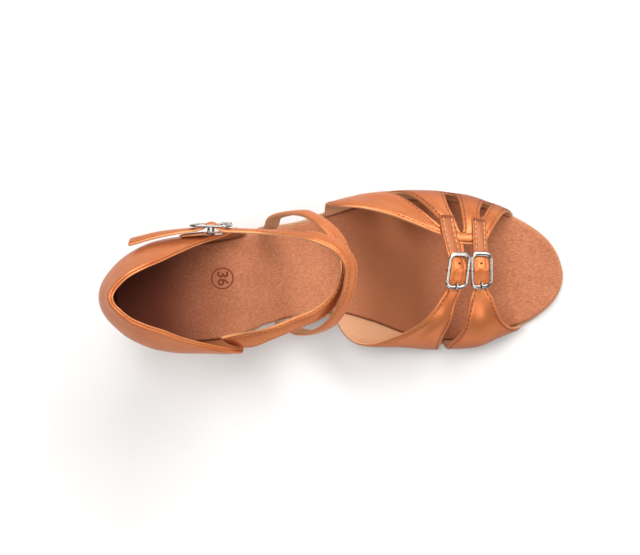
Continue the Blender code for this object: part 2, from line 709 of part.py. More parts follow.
def buckle(name, place, length, width, near, far, bar, prong, silver):
    """Frame with its centre bar, and the prong that rests on the near end.

    place turns (across, along, height) into a point. Along runs to the near
    end, whose bar lies at the height near; the far end's lies at the height far.
    """
    half_w = width / 2 - WIRE
    half_l = length / 2 - WIRE
    ring = []
    for k, (sign_w, sign_l) in enumerate([(1, 1), (-1, 1), (-1, -1), (1, -1)]):
        for step in range(5):
            angle = (k + step / 4) * pi / 2
            across = sign_w * (half_w - BUCKLE_CORNER) + BUCKLE_CORNER * cos(angle)
            along = sign_l * (half_l - BUCKLE_CORNER) + BUCKLE_CORNER * sin(angle)
            height = far + (near - far) * (along / half_l + 1) / 2
            ring.append(place(across, along, height))
    middle = (near + far) / 2
    outwards = place(0, 0, middle + MM) - place(0, 0, middle)
    lengthwise = place(0, MM, middle) - place(0, 0, middle)
    crosswise = place(MM, 0, middle) - place(0, 0, middle)
    frame = tube(name + "_frame", ring, outwards, WIRE, silver, closed=True)
    path = [(-half_w, middle), (-half_w, bar + BAR_BEND), (BAR_BEND - half_w, bar),
            (half_w - BAR_BEND, bar), (half_w, bar + BAR_BEND), (half_w, middle)]
    cross = tube(name + "_bar", [place(a, 0, h) for a, h in path], lengthwise, BAR_WIRE, silver)
    fuse(frame, cross)
    top = near + WIRE + GAP + PRONG_WIRE
    first = BAR_WIRE + GAP + PRONG_WIRE
    route = [(first, bar - BAR_WIRE / 2), (prong - BAR_BEND, bar - GAP), (prong, bar + BAR_BEND),
             (prong + GAP, top - BAR_BEND), (prong + PRONG_BEND, top), (half_l + PRONG_TIP, top)]
    tube(name + "_prong", [place(0, b, h) for b, h in route], crosswise, PRONG_WIRE, silver)


def billet_centre(edges, way):
    """Station of a billet's centre line between its two edges."""
    return (column(MEDIAL_EDGES, edges[0], way) + column(MEDIAL_EDGES, edges[1], way)) / 2


def build_vamp_buckles(silver):
    for name, edges in (("vamp_buckle_rear", (1, 2)), ("vamp_buckle_front", (3, 4))):
        centre = billet_centre(edges, VAMP_BAR_WAY)
        nudge = 0.01
        ahead = last_point(centre, VAMP_BAR_WAY + nudge, 0)
        behind = last_point(centre, VAMP_BAR_WAY - nudge, 0)
        girth = np.linalg.norm(ahead - behind) / (2 * nudge)

        def place(across, along, height):
            way = VAMP_BAR_WAY + along / girth
            station = billet_centre(edges, way) + across / BED_LENGTH
            return last_point(station, way, height)

        reach = (VAMP_BUCKLE_LENGTH / 2 - WIRE) / girth
        near = billet_face(VAMP_BAR_WAY + reach) + GAP + WIRE
        far = billet_face(VAMP_BAR_WAY - reach) + GAP + WIRE
        bar = billet_face(VAMP_BAR_WAY) - BAND_WALL - GAP - BAR_WIRE
        hole = (BILLET_HOLE[0] + BILLET_HOLE[1]) / 2
        prong = (hole - VAMP_BAR_WAY) * girth
        buckle(name, place, VAMP_BUCKLE_LENGTH, VAMP_BUCKLE_WIDTH, near, far, bar, prong, silver)


def build_ankle_buckle(satin, silver):
    route, lift, width = strap_route(ANKLE_ROOT, ANKLE_STRAP, ANKLE_STRAP_STEPS)
    along, outwards, across = strap_frames(ANKLE_ROOT, route, lift)
    at = ANKLE_BAR_STEPS
    origin = route[at]

    def place(crosswise, lengthwise, height):
        return origin + across[at] * crosswise - along[at] * lengthwise + outwards[at] * height

    over = STRAP_WALL / 2 + GAP + WIRE
    under = -STRAP_WALL / 2 - GAP - BAR_WIRE
    step = np.linalg.norm(route[at] - route[at - 1])
    buckle("ankle_buckle", place, ANKLE_BUCKLE_LENGTH, ANKLE_BUCKLE_WIDTH, over, over, under,
           1.5 * step, silver)
    front = place(0, -BAR_WIRE - GAP - TAB_WALL / 2, under)
    rear = counter_point(LATERAL, TAB_ROOT_AT, TAB_ROOT_HEIGHT, GAP + TAB_WALL / 2)
    middle = (front + rear) / 2
    line = np.array([front, middle, rear])
    spread = np.array([-0.5, 0, 0.5])[None, :, None] * across[at] * TAB_WIDTH
    face = outwards[at] * TAB_WALL / 2
    shell("ankle_buckle_tab", line[:, None, :] + spread + face, line[:, None, :] + spread - face, satin)


def main():
    for old in list(bpy.data.objects):
        bpy.data.objects.remove(old)
    satin = material("tan satin", (0.56, 0.22, 0.09), 0.45)
    suede = material("tan suede", (0.46, 0.20, 0.10), 0.95)
    rubber = material("heel rubber", (0.05, 0.03, 0.025), 0.7)
    silver = material("polished buckle metal", (0.75, 0.74, 0.72), 0.25, 1.0)
    build_sole(suede, satin, rubber)
    build_counter(satin)
    build_vamp_lateral(satin)
    build_vamp_medial(satin)
    build_strap("instep_strap", INSTEP_ROOT, INSTEP_STRAP, INSTEP_STRAP_STEPS, satin)
    build_strap("ankle_strap", ANKLE_ROOT, ANKLE_STRAP, ANKLE_STRAP_STEPS, satin, ANKLE_HOLE_STEPS)
    build_vamp_buckles(silver)
    build_ankle_buckle(satin, silver)


main()
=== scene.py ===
"""Looks of the ladies' ballroom sandal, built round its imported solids.

The pieces repeat the part's own last at a finer grain. Tables hold shares of
the named sizes, and every cloth wall gets rounded edges, sunk seams and folds.
"""
from math import cos, pi, radians, sin

import bmesh
import bpy
import numpy as np
from mathutils import Matrix, Vector
from mathutils.kdtree import KDTree


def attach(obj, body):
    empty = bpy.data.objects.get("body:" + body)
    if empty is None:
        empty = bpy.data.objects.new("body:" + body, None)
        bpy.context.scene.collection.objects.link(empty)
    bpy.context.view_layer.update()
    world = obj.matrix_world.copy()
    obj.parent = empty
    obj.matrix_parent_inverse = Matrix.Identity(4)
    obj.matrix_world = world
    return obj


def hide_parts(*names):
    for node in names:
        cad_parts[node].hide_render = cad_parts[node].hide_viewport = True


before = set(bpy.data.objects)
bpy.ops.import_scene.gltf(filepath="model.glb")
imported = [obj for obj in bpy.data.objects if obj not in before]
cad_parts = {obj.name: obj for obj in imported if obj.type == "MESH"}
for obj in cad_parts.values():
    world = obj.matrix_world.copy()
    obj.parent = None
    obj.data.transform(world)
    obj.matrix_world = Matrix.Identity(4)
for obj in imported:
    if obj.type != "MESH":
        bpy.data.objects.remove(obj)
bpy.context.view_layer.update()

MM = 0.001

# Main sizes, as in the part
BED_LENGTH = 222 * MM
BALL_WIDTH = 74 * MM
HEEL_HEIGHT = 56 * MM
INSTEP_HEIGHT = 70 * MM
UPPER_SWELL = 8 * MM
GAP = 0.3 * MM
EDGE_GAP = 0.45 * MM
OUTSOLE_WALL = 2.7 * MM
INSOLE_WALL = 3.5 * MM
TOP_PIECE_WALL = 5 * MM
RIM = 2.3 * MM
BREAST_AT = 52 * MM
BREAST_GAP = 0.8 * MM
TOP_PIECE_BACK = 5.5 * MM
TOP_PIECE_LENGTH = 25 * MM
TOP_PIECE_WIDTH = 23 * MM
COUNTER_WALL = 2.0 * MM
COUNTER_HEIGHT = 0.714 * INSTEP_HEIGHT
COUNTER_SWELL = 4.4 * MM
BAND_WALL = 1.6 * MM
STRAP_WALL = 1.6 * MM
STRAP_WIDTH = 9.5 * MM
TURN_UNDER = 3.0 * MM
ROOT_CLEARANCE = 1.0 * MM
ROOT_RISE = 2.0 * MM
VAMP_BUCKLE_LENGTH = 18.5 * MM
VAMP_FRAME_WIDTH = 11.1 * MM
ANKLE_BUCKLE_LENGTH = 20 * MM
ANKLE_BUCKLE_WIDTH = 13.5 * MM
WIRE = 0.9 * MM
BAR_WIRE = 0.7 * MM
PRONG_WIRE = 0.6 * MM
BAR_BEND = 0.6 * MM
PRONG_BEND = 1.1 * MM
PRONG_TIP = 1.2 * MM

HALF_BALL = BALL_WIDTH / 2
TOP_PIECE_CENTRE = TOP_PIECE_BACK + TOP_PIECE_LENGTH / 2
BALL_BED = OUTSOLE_WALL + GAP + INSOLE_WALL
SEAT_BED = HEEL_HEIGHT + GAP + INSOLE_WALL
LATERAL = 1
MEDIAL = -1
TOUCH = 1e-6
# Small step in turn, station or way, to measure a slope with
NUDGE = 1e-3

# Cloth edges: how far from a cut edge the folded roll, its groove, the seam and
# the flat of the cloth lie, and how deep or high each is
EDGE_ROUND = 0.75 * MM
EDGE_FOLD = 0.43 * MM
GROOVE_AT = 0.50 * MM
GROOVE_WIDTH = 0.13 * MM
GROOVE_DEPTH = 0.16 * MM
SEAM_AT = 1.45 * MM
SEAM_WIDTH = 0.34 * MM
SEAM_DEPTH = 0.22 * MM
PILLOW_WIDTH = 2.2 * MM
PILLOW_HEIGHT = 0.22 * MM
EDGE_ZONE = 3.0 * MM
BORDER_STEP = 0.12 * MM
# Least width that a strip has square to its edge, as a share of its width along X
LEAST_SQUARE = 0.45
INSOLE_EDGE = 1.3 * MM
OUTSOLE_EDGE = 0.9 * MM
INSOLE_ROWS = 220
OUTSOLE_ROWS = 200
HEEL_LEVELS = 60
HEEL_TURNS = 90
NEAR_EDGE = np.array([0, 0.10, 0.24, 0.34, 0.43, 0.50, 0.58, 0.75, 1.0, 1.2, 1.45, 1.7, 2.05, 2.5]) * MM

# How far round from the sole's ends its rows start
TIP_TURN = 0.03
# Rounding of the counter's tips by side: its length and the level where it starts
TIP_ROUND = {LATERAL: 3.4 * MM, MEDIAL: 5.0 * MM}
TIP_ROUND_FROM = {LATERAL: 0.84, MEDIAL: 0.62}
COUNTER_TURNS = 241
COUNTER_ROWS = 60
BINDING_RISE = 0.4 * MM
BINDING_SEAM = 1.9 * MM
# Binding rolls: how far out from the counter's face and how thick, in mm
OUTER_ROLL = (-0.36, 0.84)
INNER_ROLL = (-1.62, 0.50)
# Points of a roll down each tip and round the top
ROLL_DOWN = 30
ROLL_ROUND = 240
# Heel tip from the floor up: height and inset in mm, its edges eased
TOP_MM = TOP_PIECE_WALL / MM
HEEL_TIP = ((0, 0.9), (0.12, 0.35), (0.35, 0.05), (0.7, 0), (TOP_MM - 0.3, 0), (TOP_MM - 0.1, 0.08),
            (TOP_MM, 0.25))
HEEL_CREASE = radians(50)

# The last: station, outline lateral and medial, rise, crest, crest shift, swell
# lateral and medial, in the shares that the part's own table uses
LAST = np.array([
    [0.00, 0.000, 0.000, 1.000, 0.74, 0.00, 0.40, 0.40],
    [0.02, 0.265, 0.265, 0.993, 0.77, 0.00, 0.40, 0.40],
    [0.06, 0.473, 0.473, 0.977, 0.81, 0.01, 0.40, 0.40],
    [0.11, 0.595, 0.595, 0.950, 0.86, 0.03, 0.45, 0.45],
    [0.17, 0.643, 0.643, 0.905, 0.91, 0.04, 0.55, 0.60],
    [0.24, 0.681, 0.622, 0.820, 0.97, 0.07, 0.60, 1.00],
    [0.32, 0.762, 0.481, 0.672, 1.00, 0.14, 0.80, 1.60],
    [0.40, 0.843, 0.384, 0.485, 0.97, 0.22, 0.95, 2.00],
    [0.48, 0.951, 0.368, 0.290, 0.87, 0.24, 0.64, 1.84],
    [0.56, 1.081, 0.514, 0.120, 0.75, 0.19, 0.49, 1.44],
    [0.64, 1.130, 0.724, 0.025, 0.64, 0.09, 0.41, 0.67],
    [0.71, 1.114, 0.838, 0.000, 0.56, 0.03, 0.39, 0.39],
    [0.78, 1.049, 0.838, 0.000, 0.47, 0.00, 0.39, 0.44],
    [0.85, 0.914, 0.746, 0.010, 0.40, 0.00, 0.31, 0.25],
    [0.91, 0.751, 0.638, 0.030, 0.33, 0.01, 0.19, 0.13],
    [0.96, 0.535, 0.465, 0.055, 0.27, 0.03, 0.07, 0.00],
    [1.00, -0.027, 0.027, 0.080, 0.22, 0.03, 0.00, 0.00],
])
AT, OUT_LATERAL, OUT_MEDIAL, RISE, CREST, CREST_SHIFT, SWELL_LATERAL, SWELL_MEDIAL = range(8)
SWELL_PEAK = 12 * MM
# Powers that make a section of the last fuller than an ellipse, in height and across
FULL_HEIGHT = 0.95
FULL_WIDTH = 0.9

# Heel in levels: height, back, breast and width, as the part's table has them
HEEL = np.array([
    [0.00, 1.00, 0.00, 0.00],
    [0.10, 1.18, -0.05, -0.06],
    [0.28, 1.42, -0.10, -0.11],
    [0.46, 1.42, -0.05, -0.03],
    [0.62, 1.15, 0.10, 0.18],
    [0.76, 0.72, 0.33, 0.45],
    [0.88, 0.31, 0.64, 0.74],
    [0.96, 0.06, 0.90, 0.94],
    [1.00, -0.42, 1.00, 1.00],
])

# Rim of the outsole past the bed: station, lateral, medial
SOLE_RIM = np.array([
    [0.000, 1.00, 1.00],
    [0.290, 1.00, 1.00],
    [0.335, 0.90, 0.35],
    [0.370, 0.80, 0.40],
    [0.420, 0.55, 0.40],
    [0.480, 1.00, 1.00],
    [0.700, 1.00, 1.00],
    [0.800, 0.80, 0.90],
    [0.890, 0.45, 0.70],
    [0.950, 0.10, 0.20],
    [1.000, 0.05, 0.05],
])

# Counter: station, height and waist run of its topline; then height, outset at
# the back and outset at the sides of its wall
TOPLINE = np.array([
    [0.00, 1.000, 0.00],
    [0.02, 0.990, 0.00],
    [0.05, 0.960, 0.05],
    [0.08, 0.905, 0.10],
    [0.12, 0.820, 0.15],
    [0.165, 0.700, 0.20],
    [0.20, 0.600, 0.35],
    [0.24, 0.500, 0.70],
    [0.27, 0.455, 1.05],
    [0.30, 0.430, 1.35],
])
TOP_HEIGHT, WAIST_RUN = range(1, 3)
WAIST_RUN_RISE = 0.2 * COUNTER_HEIGHT
COUNTER_SIDE = np.array([
    [-0.08, 0.52, 0.52],
    [0.00, 0.55, 0.55],
    [0.08, 0.72, 0.75],
    [0.18, 0.90, 0.95],
    [0.30, 1.00, 0.98],
    [0.44, 0.96, 0.78],
    [0.58, 0.68, 0.25],
    [0.72, 0.18, -0.50],
    [0.84, -0.38, -1.20],
    [1.00, -1.05, -2.00],
])
COUNTER_BACK_REACH = 0.13
COUNTER_BASE = {LATERAL: 0.298, MEDIAL: 0.268}
COUNTER_TIP = {LATERAL: 0.262, MEDIAL: 0.262}

# Edges of the vamp's bands: the way round, then the stations of each edge
LATERAL_EDGES = np.array([
    # way   A rear A front B rear B front C rear C front D rear D front
    [0.000, 0.470, 0.600, 0.612, 0.735, 0.747, 0.832, 0.846, 0.893],
    [0.060, 0.476, 0.610, 0.636, 0.736, 0.760, 0.829, 0.844, 0.886],
    [0.100, 0.492, 0.628, 0.658, 0.740, 0.768, 0.827, 0.843, 0.880],
    [0.200, 0.566, 0.674, 0.698, 0.748, 0.775, 0.817, 0.830, 0.863],
    [0.300, 0.668, 0.722, 0.734, 0.765, 0.778, 0.805, 0.818, 0.842],
    [0.330, 0.704, 0.734, 0.744, 0.767, 0.779, 0.802, 0.813, 0.835],
    [0.360, 0.7445, 0.748, 0.754, 0.769, 0.780, 0.799, 0.808, 0.829],
    [0.470, 0.7480, 0.752, 0.763, 0.774, 0.784, 0.797, 0.809, 0.827],
])
MEDIAL_EDGES = np.array([
    # way   M1 rear M1 front M2 rear M2 front
    [0.230, 0.7310, 0.7580, 0.7990, 0.8260],
    [0.400, 0.7480, 0.7750, 0.7975, 0.8245],
    [0.540, 0.7345, 0.7615, 0.7950, 0.8220],
    [0.600, 0.7140, 0.7520, 0.7830, 0.8360],
    [0.700, 0.6800, 0.7390, 0.7720, 0.8470],
    [0.800, 0.6380, 0.7210, 0.7540, 0.8650],
    [0.880, 0.5920, 0.7130, 0.7320, 0.8820],
    [0.940, 0.5370, 0.7100, 0.7270, 0.8940],
    [1.000, 0.4770, 0.7050, 0.7210, 0.8990],
])
BILLET_LAYER = np.array([
    [0.20, 1.00],
    [0.40, 1.00],
    [0.445, 1.13],
    [0.48, 1.29],
    [0.515, 0.82],
    [0.55, 0.00],
    [0.60, 0.00],
    [1.00, 0.00],
])

# Straps: station, place across, height over the bed, lift in degrees, width
INSTEP_STRAP = np.array([
    [0.362, 0.955, 0.198, -10, 1.0],
    [0.395, 0.995, 0.379, -4, 1.0],
    [0.440, 0.965, 0.623, 18, 1.0],
    [0.482, 0.790, 0.790, 32, 1.0],
    [0.514, 0.510, 0.906, 36, 1.0],
    [0.521, 0.210, 0.933, 31, 1.0],
    [0.503, -0.080, 0.877, 29, 1.0],
    [0.458, -0.335, 0.772, 36, 1.0],
    [0.400, -0.470, 0.643, 35, 1.0],
    [0.345, -0.585, 0.517, 34, 1.1],
    [0.290, -0.655, 0.369, 38, 1.3],
    [0.245, -0.655, 0.263, 14, 1.45],
])
ANKLE_STRAP = np.array([
    [0.385, -0.535, 0.210, -12, 1.0],
    [0.408, -0.600, 0.353, -8, 1.0],
    [0.446, -0.590, 0.554, 8, 1.0],
    [0.485, -0.460, 0.755, 24, 1.0],
    [0.512, -0.240, 0.893, 32, 1.0],
    [0.528, 0.010, 0.985, 34, 1.0],
    [0.532, 0.270, 1.042, 36, 1.0],
    [0.510, 0.490, 1.039, 36, 1.0],
    [0.470, 0.630, 0.959, 32, 1.0],
    [0.415, 0.705, 0.806, 17, 1.0],
    [0.350, 0.755, 0.626, 8, 1.0],
    [0.270, 0.800, 0.475, 5, 1.0],
    [0.185, 0.830, 0.364, 6, 1.0],
    [0.120, 0.800, 0.319, 14, 1.0],
    [0.050, 0.720, 0.285, 18, 1.0],
])
INSTEP_ROOT = (LATERAL, 0.342)
ANKLE_ROOT = (MEDIAL, 0.368)
ANKLE_STRAP_STEPS = 60
ANKLE_BAR_STEPS = 47

VAMP_BAR_WAY = 0.478
CHAPES_END = 0.471
YOKE_HEM = 0.348
YOKE_HEM_SEAM = (0.779, 0.799)
# Rolled hem: the stations between which it and the bar run, its way and the bar's
# past the hem, its radius in mm at the ends and in the middle, its flatness
YOKE_ACROSS = (0.7585, 0.7985)
YOKE_POINTS = 24
ROLL_AHEAD = 0.002
BAR_AHEAD = 0.0275
ROLL_RADIUS = (1.2, 2.3)
ROLL_FLAT = 0.42
YOKE_BAR_RADIUS = 0.5 * MM
CHAPE_FLARE = 0.010
CHAPE_FLARE_END = 0.46
STRAP_CUP = 0.4 * MM
# Steps of each strap's cloth, and how many stay unsewn at its root and at its end
INSTEP_STRAP_ROWS = 300
ANKLE_STRAP_ROWS = 380
UNSEWN_ROOT = 12
UNSEWN_END = 6
HUMP_HEIGHT = 2.9 * MM
HUMP_HALF = 4.2 * MM
TAIL_START = 0.26
TAIL_END = 0.415
TAIL_TUCK = 0.022
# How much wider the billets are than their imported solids, at each edge in mm
BILLET_EXTRA = np.array([
    [0.20, 0.50],
    [0.40, 0.60],
    [0.44, 0.95],
    [0.52, 0.95],
    [0.62, 0.00],
    [1.00, 0.00],
])
# How far back the rear tail has swung from its packed place: way and share of the bed
TAIL_SWING = np.array([
    [0.23, 0.0070],
    [0.26, 0.0086],
    [0.30, 0.0130],
    [0.345, 0.0160],
    [0.40, 0.0130],
    [0.43, 0.0070],
    [0.47, 0.0000],
    [1.00, 0.0000],
])
# Cut-outs between the bands: the edge before it, and the ways where it starts and ends
CUT_OUTS = ((1, 0.055, 0.315), (3, 0.055, 0.340), (5, 0.06, 0.245))
# Folds of the bands: station and way of both ends, half width and height in mm
BAND_GIRTH = 112 * MM
LATERAL_FOLDS = (
    (0.500, 0.080, 0.640, 0.270, 2.4, 0.34),
    (0.520, 0.040, 0.690, 0.290, 1.8, -0.30),
    (0.610, 0.200, 0.745, 0.400, 1.5, 0.26),
    (0.665, 0.120, 0.735, 0.290, 1.7, -0.26),
    (0.700, 0.100, 0.752, 0.320, 1.6, 0.28),
    (0.775, 0.080, 0.790, 0.300, 2.0, -0.22),
    (0.800, 0.120, 0.795, 0.330, 1.6, 0.26),
    (0.868, 0.080, 0.830, 0.330, 1.5, 0.24),
    (0.855, 0.200, 0.800, 0.385, 1.2, -0.22),
)
MEDIAL_FOLDS = (
    (0.640, 0.930, 0.735, 0.620, 2.6, 0.34),
    (0.600, 0.960, 0.720, 0.660, 2.0, -0.28),
    (0.690, 0.960, 0.742, 0.600, 2.0, -0.24),
    (0.775, 0.960, 0.800, 0.600, 2.4, -0.30),
    (0.815, 0.960, 0.812, 0.600, 3.0, 0.34),
    (0.870, 0.940, 0.824, 0.610, 2.0, -0.26),
    (0.730, 0.474, 0.793, 0.474, 1.3, 0.55),
    (0.780, 0.474, 0.842, 0.474, 1.3, 0.55),
)
# Seams of the four bands' eight edges: the ways where each row starts and ends
SEAM_REACHES = ((0.01, 0.35), (0.08, 0.29), (0.08, 0.29), (0.08, 0.33), (0.08, 0.33), (0.07, 0.22),
                (0.07, 0.22), (0.01, 0.36))
# Ways over which a cut-out opens from its start and closes before its end
CUT_OPENS = 0.03
CUT_CLOSES = 0.05
# Stamp in the seat: its centre along the bed and across, its ring and its numerals
STAMP_AT = 0.2375
STAMP_ACROSS = 0.178
STAMP_RADIUS = 5.1 * MM
STAMP_LINE = 0.32 * MM
STAMP_TEXT = "36"
STAMP_TEXT_SIZE = 1.42 * STAMP_RADIUS
STAMP_TEXT_WEIGHT = 0.14 * MM
STAMP_SEGMENTS = 96
STAMP_OVER = 0.06 * MM
STAMP_SINK = 0.1 * MM
BILLET_HOLE = (0.505, 0.525)
SPARE_HOLE = 0.455
# Spare hole's dark disc: radius and height in mm
SPARE_DISC = ((0.58, -0.3), (0.64, 0.06), (0.55, 0.08))
# Buckle frames: corner radius, thickness as a share of the wire, and half widths
# of the end rails and side rails in mm
FRAME_CORNER = 3.0 * MM
FRAME_THICK = 0.72 * WIRE
ANKLE_RAILS = (1.2, 0.88)
VAMP_RAILS = (1.2, 0.68)
TAB_WIDTH = 8 * MM
TAB_WALL = 1.4 * MM
TAB_ROOT_AT = 0.165
TAB_ROOT_HEIGHT = 0.42 * COUNTER_HEIGHT


# The last and what is measured on it

def through(x, knots, values, slopes):
    """Curve through the knots with a given slope at each."""
    at = np.clip(np.searchsorted(knots, x) - 1, 0, len(knots) - 2)
    step = np.diff(knots)[at]
    s = (x - knots[at]) / step
    return ((1 + 2 * s) * (1 - s) ** 2 * values[at] + s * (1 - s) ** 2 * step * slopes[at]
            + s * s * (3 - 2 * s) * values[at + 1] + s * s * (s - 1) * step * slopes[at + 1])


def share(x, knots, values):
    """Smooth curve through the knots that never swings past them."""
    steps = np.diff(knots)
    rates = np.diff(values) / steps
    slopes = np.zeros(len(knots))
    slopes[0] = rates[0]
    slopes[-1] = rates[-1]
    for i in range(1, len(knots) - 1):
        if rates[i - 1] * rates[i] > 0:
            ahead = 2 * steps[i] + steps[i - 1]
            behind = steps[i] + 2 * steps[i - 1]
            slopes[i] = (ahead + behind) / (ahead / rates[i - 1] + behind / rates[i])
    return through(np.clip(np.asarray(x, float), knots[0], knots[-1]), knots, values, slopes)


def column(table, name, x):
    return share(x, table[:, 0], table[:, name])


def turn_of(station):
    return np.arccos(np.clip(1 - 2 * np.asarray(station, float), -1, 1))


def station_of(turn):
    return (1 - np.cos(turn)) / 2


def outline(side, station):
    """Distance of the bed's outline from its centre line."""
    name = OUT_LATERAL if side > 0 else OUT_MEDIAL
    return HALF_BALL * share(turn_of(station), turn_of(LAST[:, AT]), LAST[:, name])


def bed_height(station):
    return BALL_BED + (SEAT_BED - BALL_BED) * column(LAST, RISE, station)


def bed_point(x, y, depth):
    """Point under the bed's surface, square to its slope."""
    nudge = 0.5 * MM
    station = np.clip(x / BED_LENGTH, 0, 1)
    near = np.minimum(x, BED_LENGTH - nudge)
    ahead = bed_height(np.clip((near + nudge) / BED_LENGTH, 0, 1))
    behind = bed_height(np.clip((near - nudge) / BED_LENGTH, 0, 1))
    slope = (ahead - behind) / (2 * nudge)
    length = np.sqrt(1 + slope ** 2)
    return np.stack([x + depth * slope / length, y, bed_height(station) - depth / length], -1)


def rim_plan(side, turn, margin):
    """Outline seen from above, moved outwards by a margin."""
    here = np.asarray(turn, float)

    def plan(angle):
        station = station_of(angle)
        beyond = np.where(angle < 0, -1.0, 1.0)
        return BED_LENGTH * station, side * beyond * outline(side, station)

    x, y = plan(here)
    x_ahead, y_ahead = plan(np.minimum(here + NUDGE, pi))
    x_behind, y_behind = plan(here - NUDGE)
    along_x = x_ahead - x_behind
    along_y = y_ahead - y_behind
    length = np.hypot(along_x, along_y)
    return x - side * along_y / length * margin, y + side * along_x / length * margin


def edge_point(side, station, out, under):
    x, y = rim_plan(side, turn_of(station), out)
    return bed_point(x, y, under)


def last_point(station, way, out):
    """Point over the last, out from its surface, at a way from 0 to 1 round the section."""
    def bare(station, way):
        station = np.clip(station, 0, 1)
        angle = np.clip(way, 0, 1) * pi
        crest = INSTEP_HEIGHT * column(LAST, CREST, station)
        shift = HALF_BALL * column(LAST, CREST_SHIFT, station)
        height = crest * np.sin(angle) ** FULL_HEIGHT
        across = np.abs(np.cos(angle)) ** FULL_WIDTH
        bump = height / SWELL_PEAK * np.exp(1 - height / SWELL_PEAK) * np.abs(np.cos(angle))
        lateral = shift + (outline(LATERAL, station) - shift) * across
        lateral = lateral + UPPER_SWELL * column(LAST, SWELL_LATERAL, station) * bump
        medial = shift - (outline(MEDIAL, station) + shift) * across
        medial = medial - UPPER_SWELL * column(LAST, SWELL_MEDIAL, station) * bump
        y = np.where(way < 0.5, lateral, medial)
        return np.stack([BED_LENGTH * station + 0 * y, y, bed_height(station) + height], -1)

    station, way = np.broadcast_arrays(np.asarray(station, float), np.asarray(way, float))
    along = bare(station + NUDGE, way) - bare(station - NUDGE, way)
    inner = np.clip(way, NUDGE, 1 - NUDGE)
    around = bare(station, inner + NUDGE) - bare(station, inner - NUDGE)
    normal = np.cross(around, along)
    normal /= np.linalg.norm(normal, axis=-1, keepdims=True)
    out = np.broadcast_to(out, station.shape)
    over = bare(station, way) + normal * out[..., None]
    lateral = edge_point(LATERAL, station, out, np.maximum(-way, 0))
    medial = edge_point(MEDIAL, station, out, np.maximum(way - 1, 0))
    over = np.where((way <= 0)[..., None], lateral, over)
    return np.where((way >= 1)[..., None], medial, over)


def counter_point(side, station, height, out):
    """Point of the counter's outer face, moved outwards by out."""
    back = share(height / COUNTER_HEIGHT, COUNTER_SIDE[:, 0], COUNTER_SIDE[:, 1])
    flank = share(height / COUNTER_HEIGHT, COUNTER_SIDE[:, 0], COUNTER_SIDE[:, 2])
    blend = np.clip(station / COUNTER_BACK_REACH, 0, 1)
    blend = blend * blend * (3 - 2 * blend)
    run = column(TOPLINE, WAIST_RUN, station) if side == MEDIAL else 0
    run = run * np.clip(height / WAIST_RUN_RISE, 0, 1)
    outset = COUNTER_SWELL * (back + (flank - back) * blend + run) + out
    x, y = rim_plan(side, turn_of(station), outset)
    return np.stack([x, y, bed_height(station) + height], -1)


def billet_face(way):
    """Height of the medial bands' outer face over the last."""
    return EDGE_GAP + BAND_WALL + (GAP + BAND_WALL) * column(BILLET_LAYER, 1, way)


def unit(vectors):
    return vectors / np.linalg.norm(vectors, axis=-1, keepdims=True)


def rounded(x, knots, values):
    """Curve through all knots with slopes from each knot's neighbours."""
    return through(x, knots, values, np.gradient(values, knots))


def strap_route(root, table, count):
    """Centre line, outward turn and width of a strap from its root at the sole."""
    side, station = root
    x, y = rim_plan(side, turn_of(station), ROOT_CLEARANCE + STRAP_WALL / 2)
    points = [bed_point(x, y, TURN_UNDER), bed_point(x, y, -ROOT_RISE)]
    lifts = [0, 0]
    widths = [1, 1]
    for along, across, height, lift, width in table:
        over = bed_height(along) + height * INSTEP_HEIGHT
        points.append(np.array([along * BED_LENGTH, across * HALF_BALL, over]))
        lifts.append(lift)
        widths.append(width)
    points = np.array(points)
    steps = np.linalg.norm(np.diff(points, axis=0), axis=1)
    knots = np.concatenate([[0], np.cumsum(steps)])
    places = np.linspace(0, knots[-1], count)
    route = np.stack([rounded(places, knots, points[:, k]) for k in range(3)], -1)
    lift = rounded(places, knots, np.array(lifts, float))
    width = rounded(places, knots, np.array(widths, float))
    return route, np.radians(lift), width


def strap_frames(root, route, lift):
    """Direction along, outwards and across the strap at each point."""
    side = root[0]
    along = unit(np.gradient(route, axis=0))
    flat = along * np.array([1, 1, 0])
    level = unit(np.stack([-flat[:, 1], flat[:, 0], 0 * flat[:, 0]], -1)) * side
    turn = turn_of(root[1])
    out_x, out_y = np.subtract(rim_plan(side, turn, MM), rim_plan(side, turn, 0)) / MM
    steep = np.clip(np.abs(along[:, 2:]) * 2 - 1, 0, 1)
    level = unit(level * (1 - steep) + np.array([out_x, out_y, 0]) * steep)
    outwards = level * np.cos(lift)[:, None] + np.array([0, 0, 1]) * np.sin(lift)[:, None]
    outwards = unit(outwards - along * np.sum(outwards * along, -1, keepdims=True))
    return along, outwards, unit(np.cross(along, outwards))


# Finishes

# Painted shade: tones that darken by place, as the photo does.
# Satin near the sole, painted shade: the heights over which its dark tone fades, and that tone
SOLE_DARK = (6 * MM, 30 * MM)
SOLE_SHADE_TONE = "#743417"
# Seat, painted shade in the heel cup: where its dark tone starts to fade and where it ends, from the origin
SEAT_SHADE = (0 * MM, 46 * MM)
# Under the ball, painted shade: the centre from the origin, the half lengths of the fade, the tone
BALL_SHADE_AT = 118 * MM
BALL_SHADE_HALF = (8 * MM, 34 * MM)
BALL_SHADE_TONE = "#965938"


def colour(code):
    """Linear colour of an sRGB hex value."""
    parts = [int(code[k:k + 2], 16) / 255 for k in (1, 3, 5)]
    linear = [p / 12.92 if p <= 0.04045 else ((p + 0.055) / 1.055) ** 2.4 for p in parts]
    return (*linear, 1)


def add(tree, kind, inputs=None, **settings):
    """Adds a node; inputs hold values for its sockets or the outputs that feed them."""
    made = tree.nodes.new(kind)
    for field, value in settings.items():
        setattr(made, field, value)
    for key, value in (inputs or {}).items():
        if isinstance(value, bpy.types.NodeSocket):
            tree.links.new(value, made.inputs[key])
        else:
            made.inputs[key].default_value = value
    return made


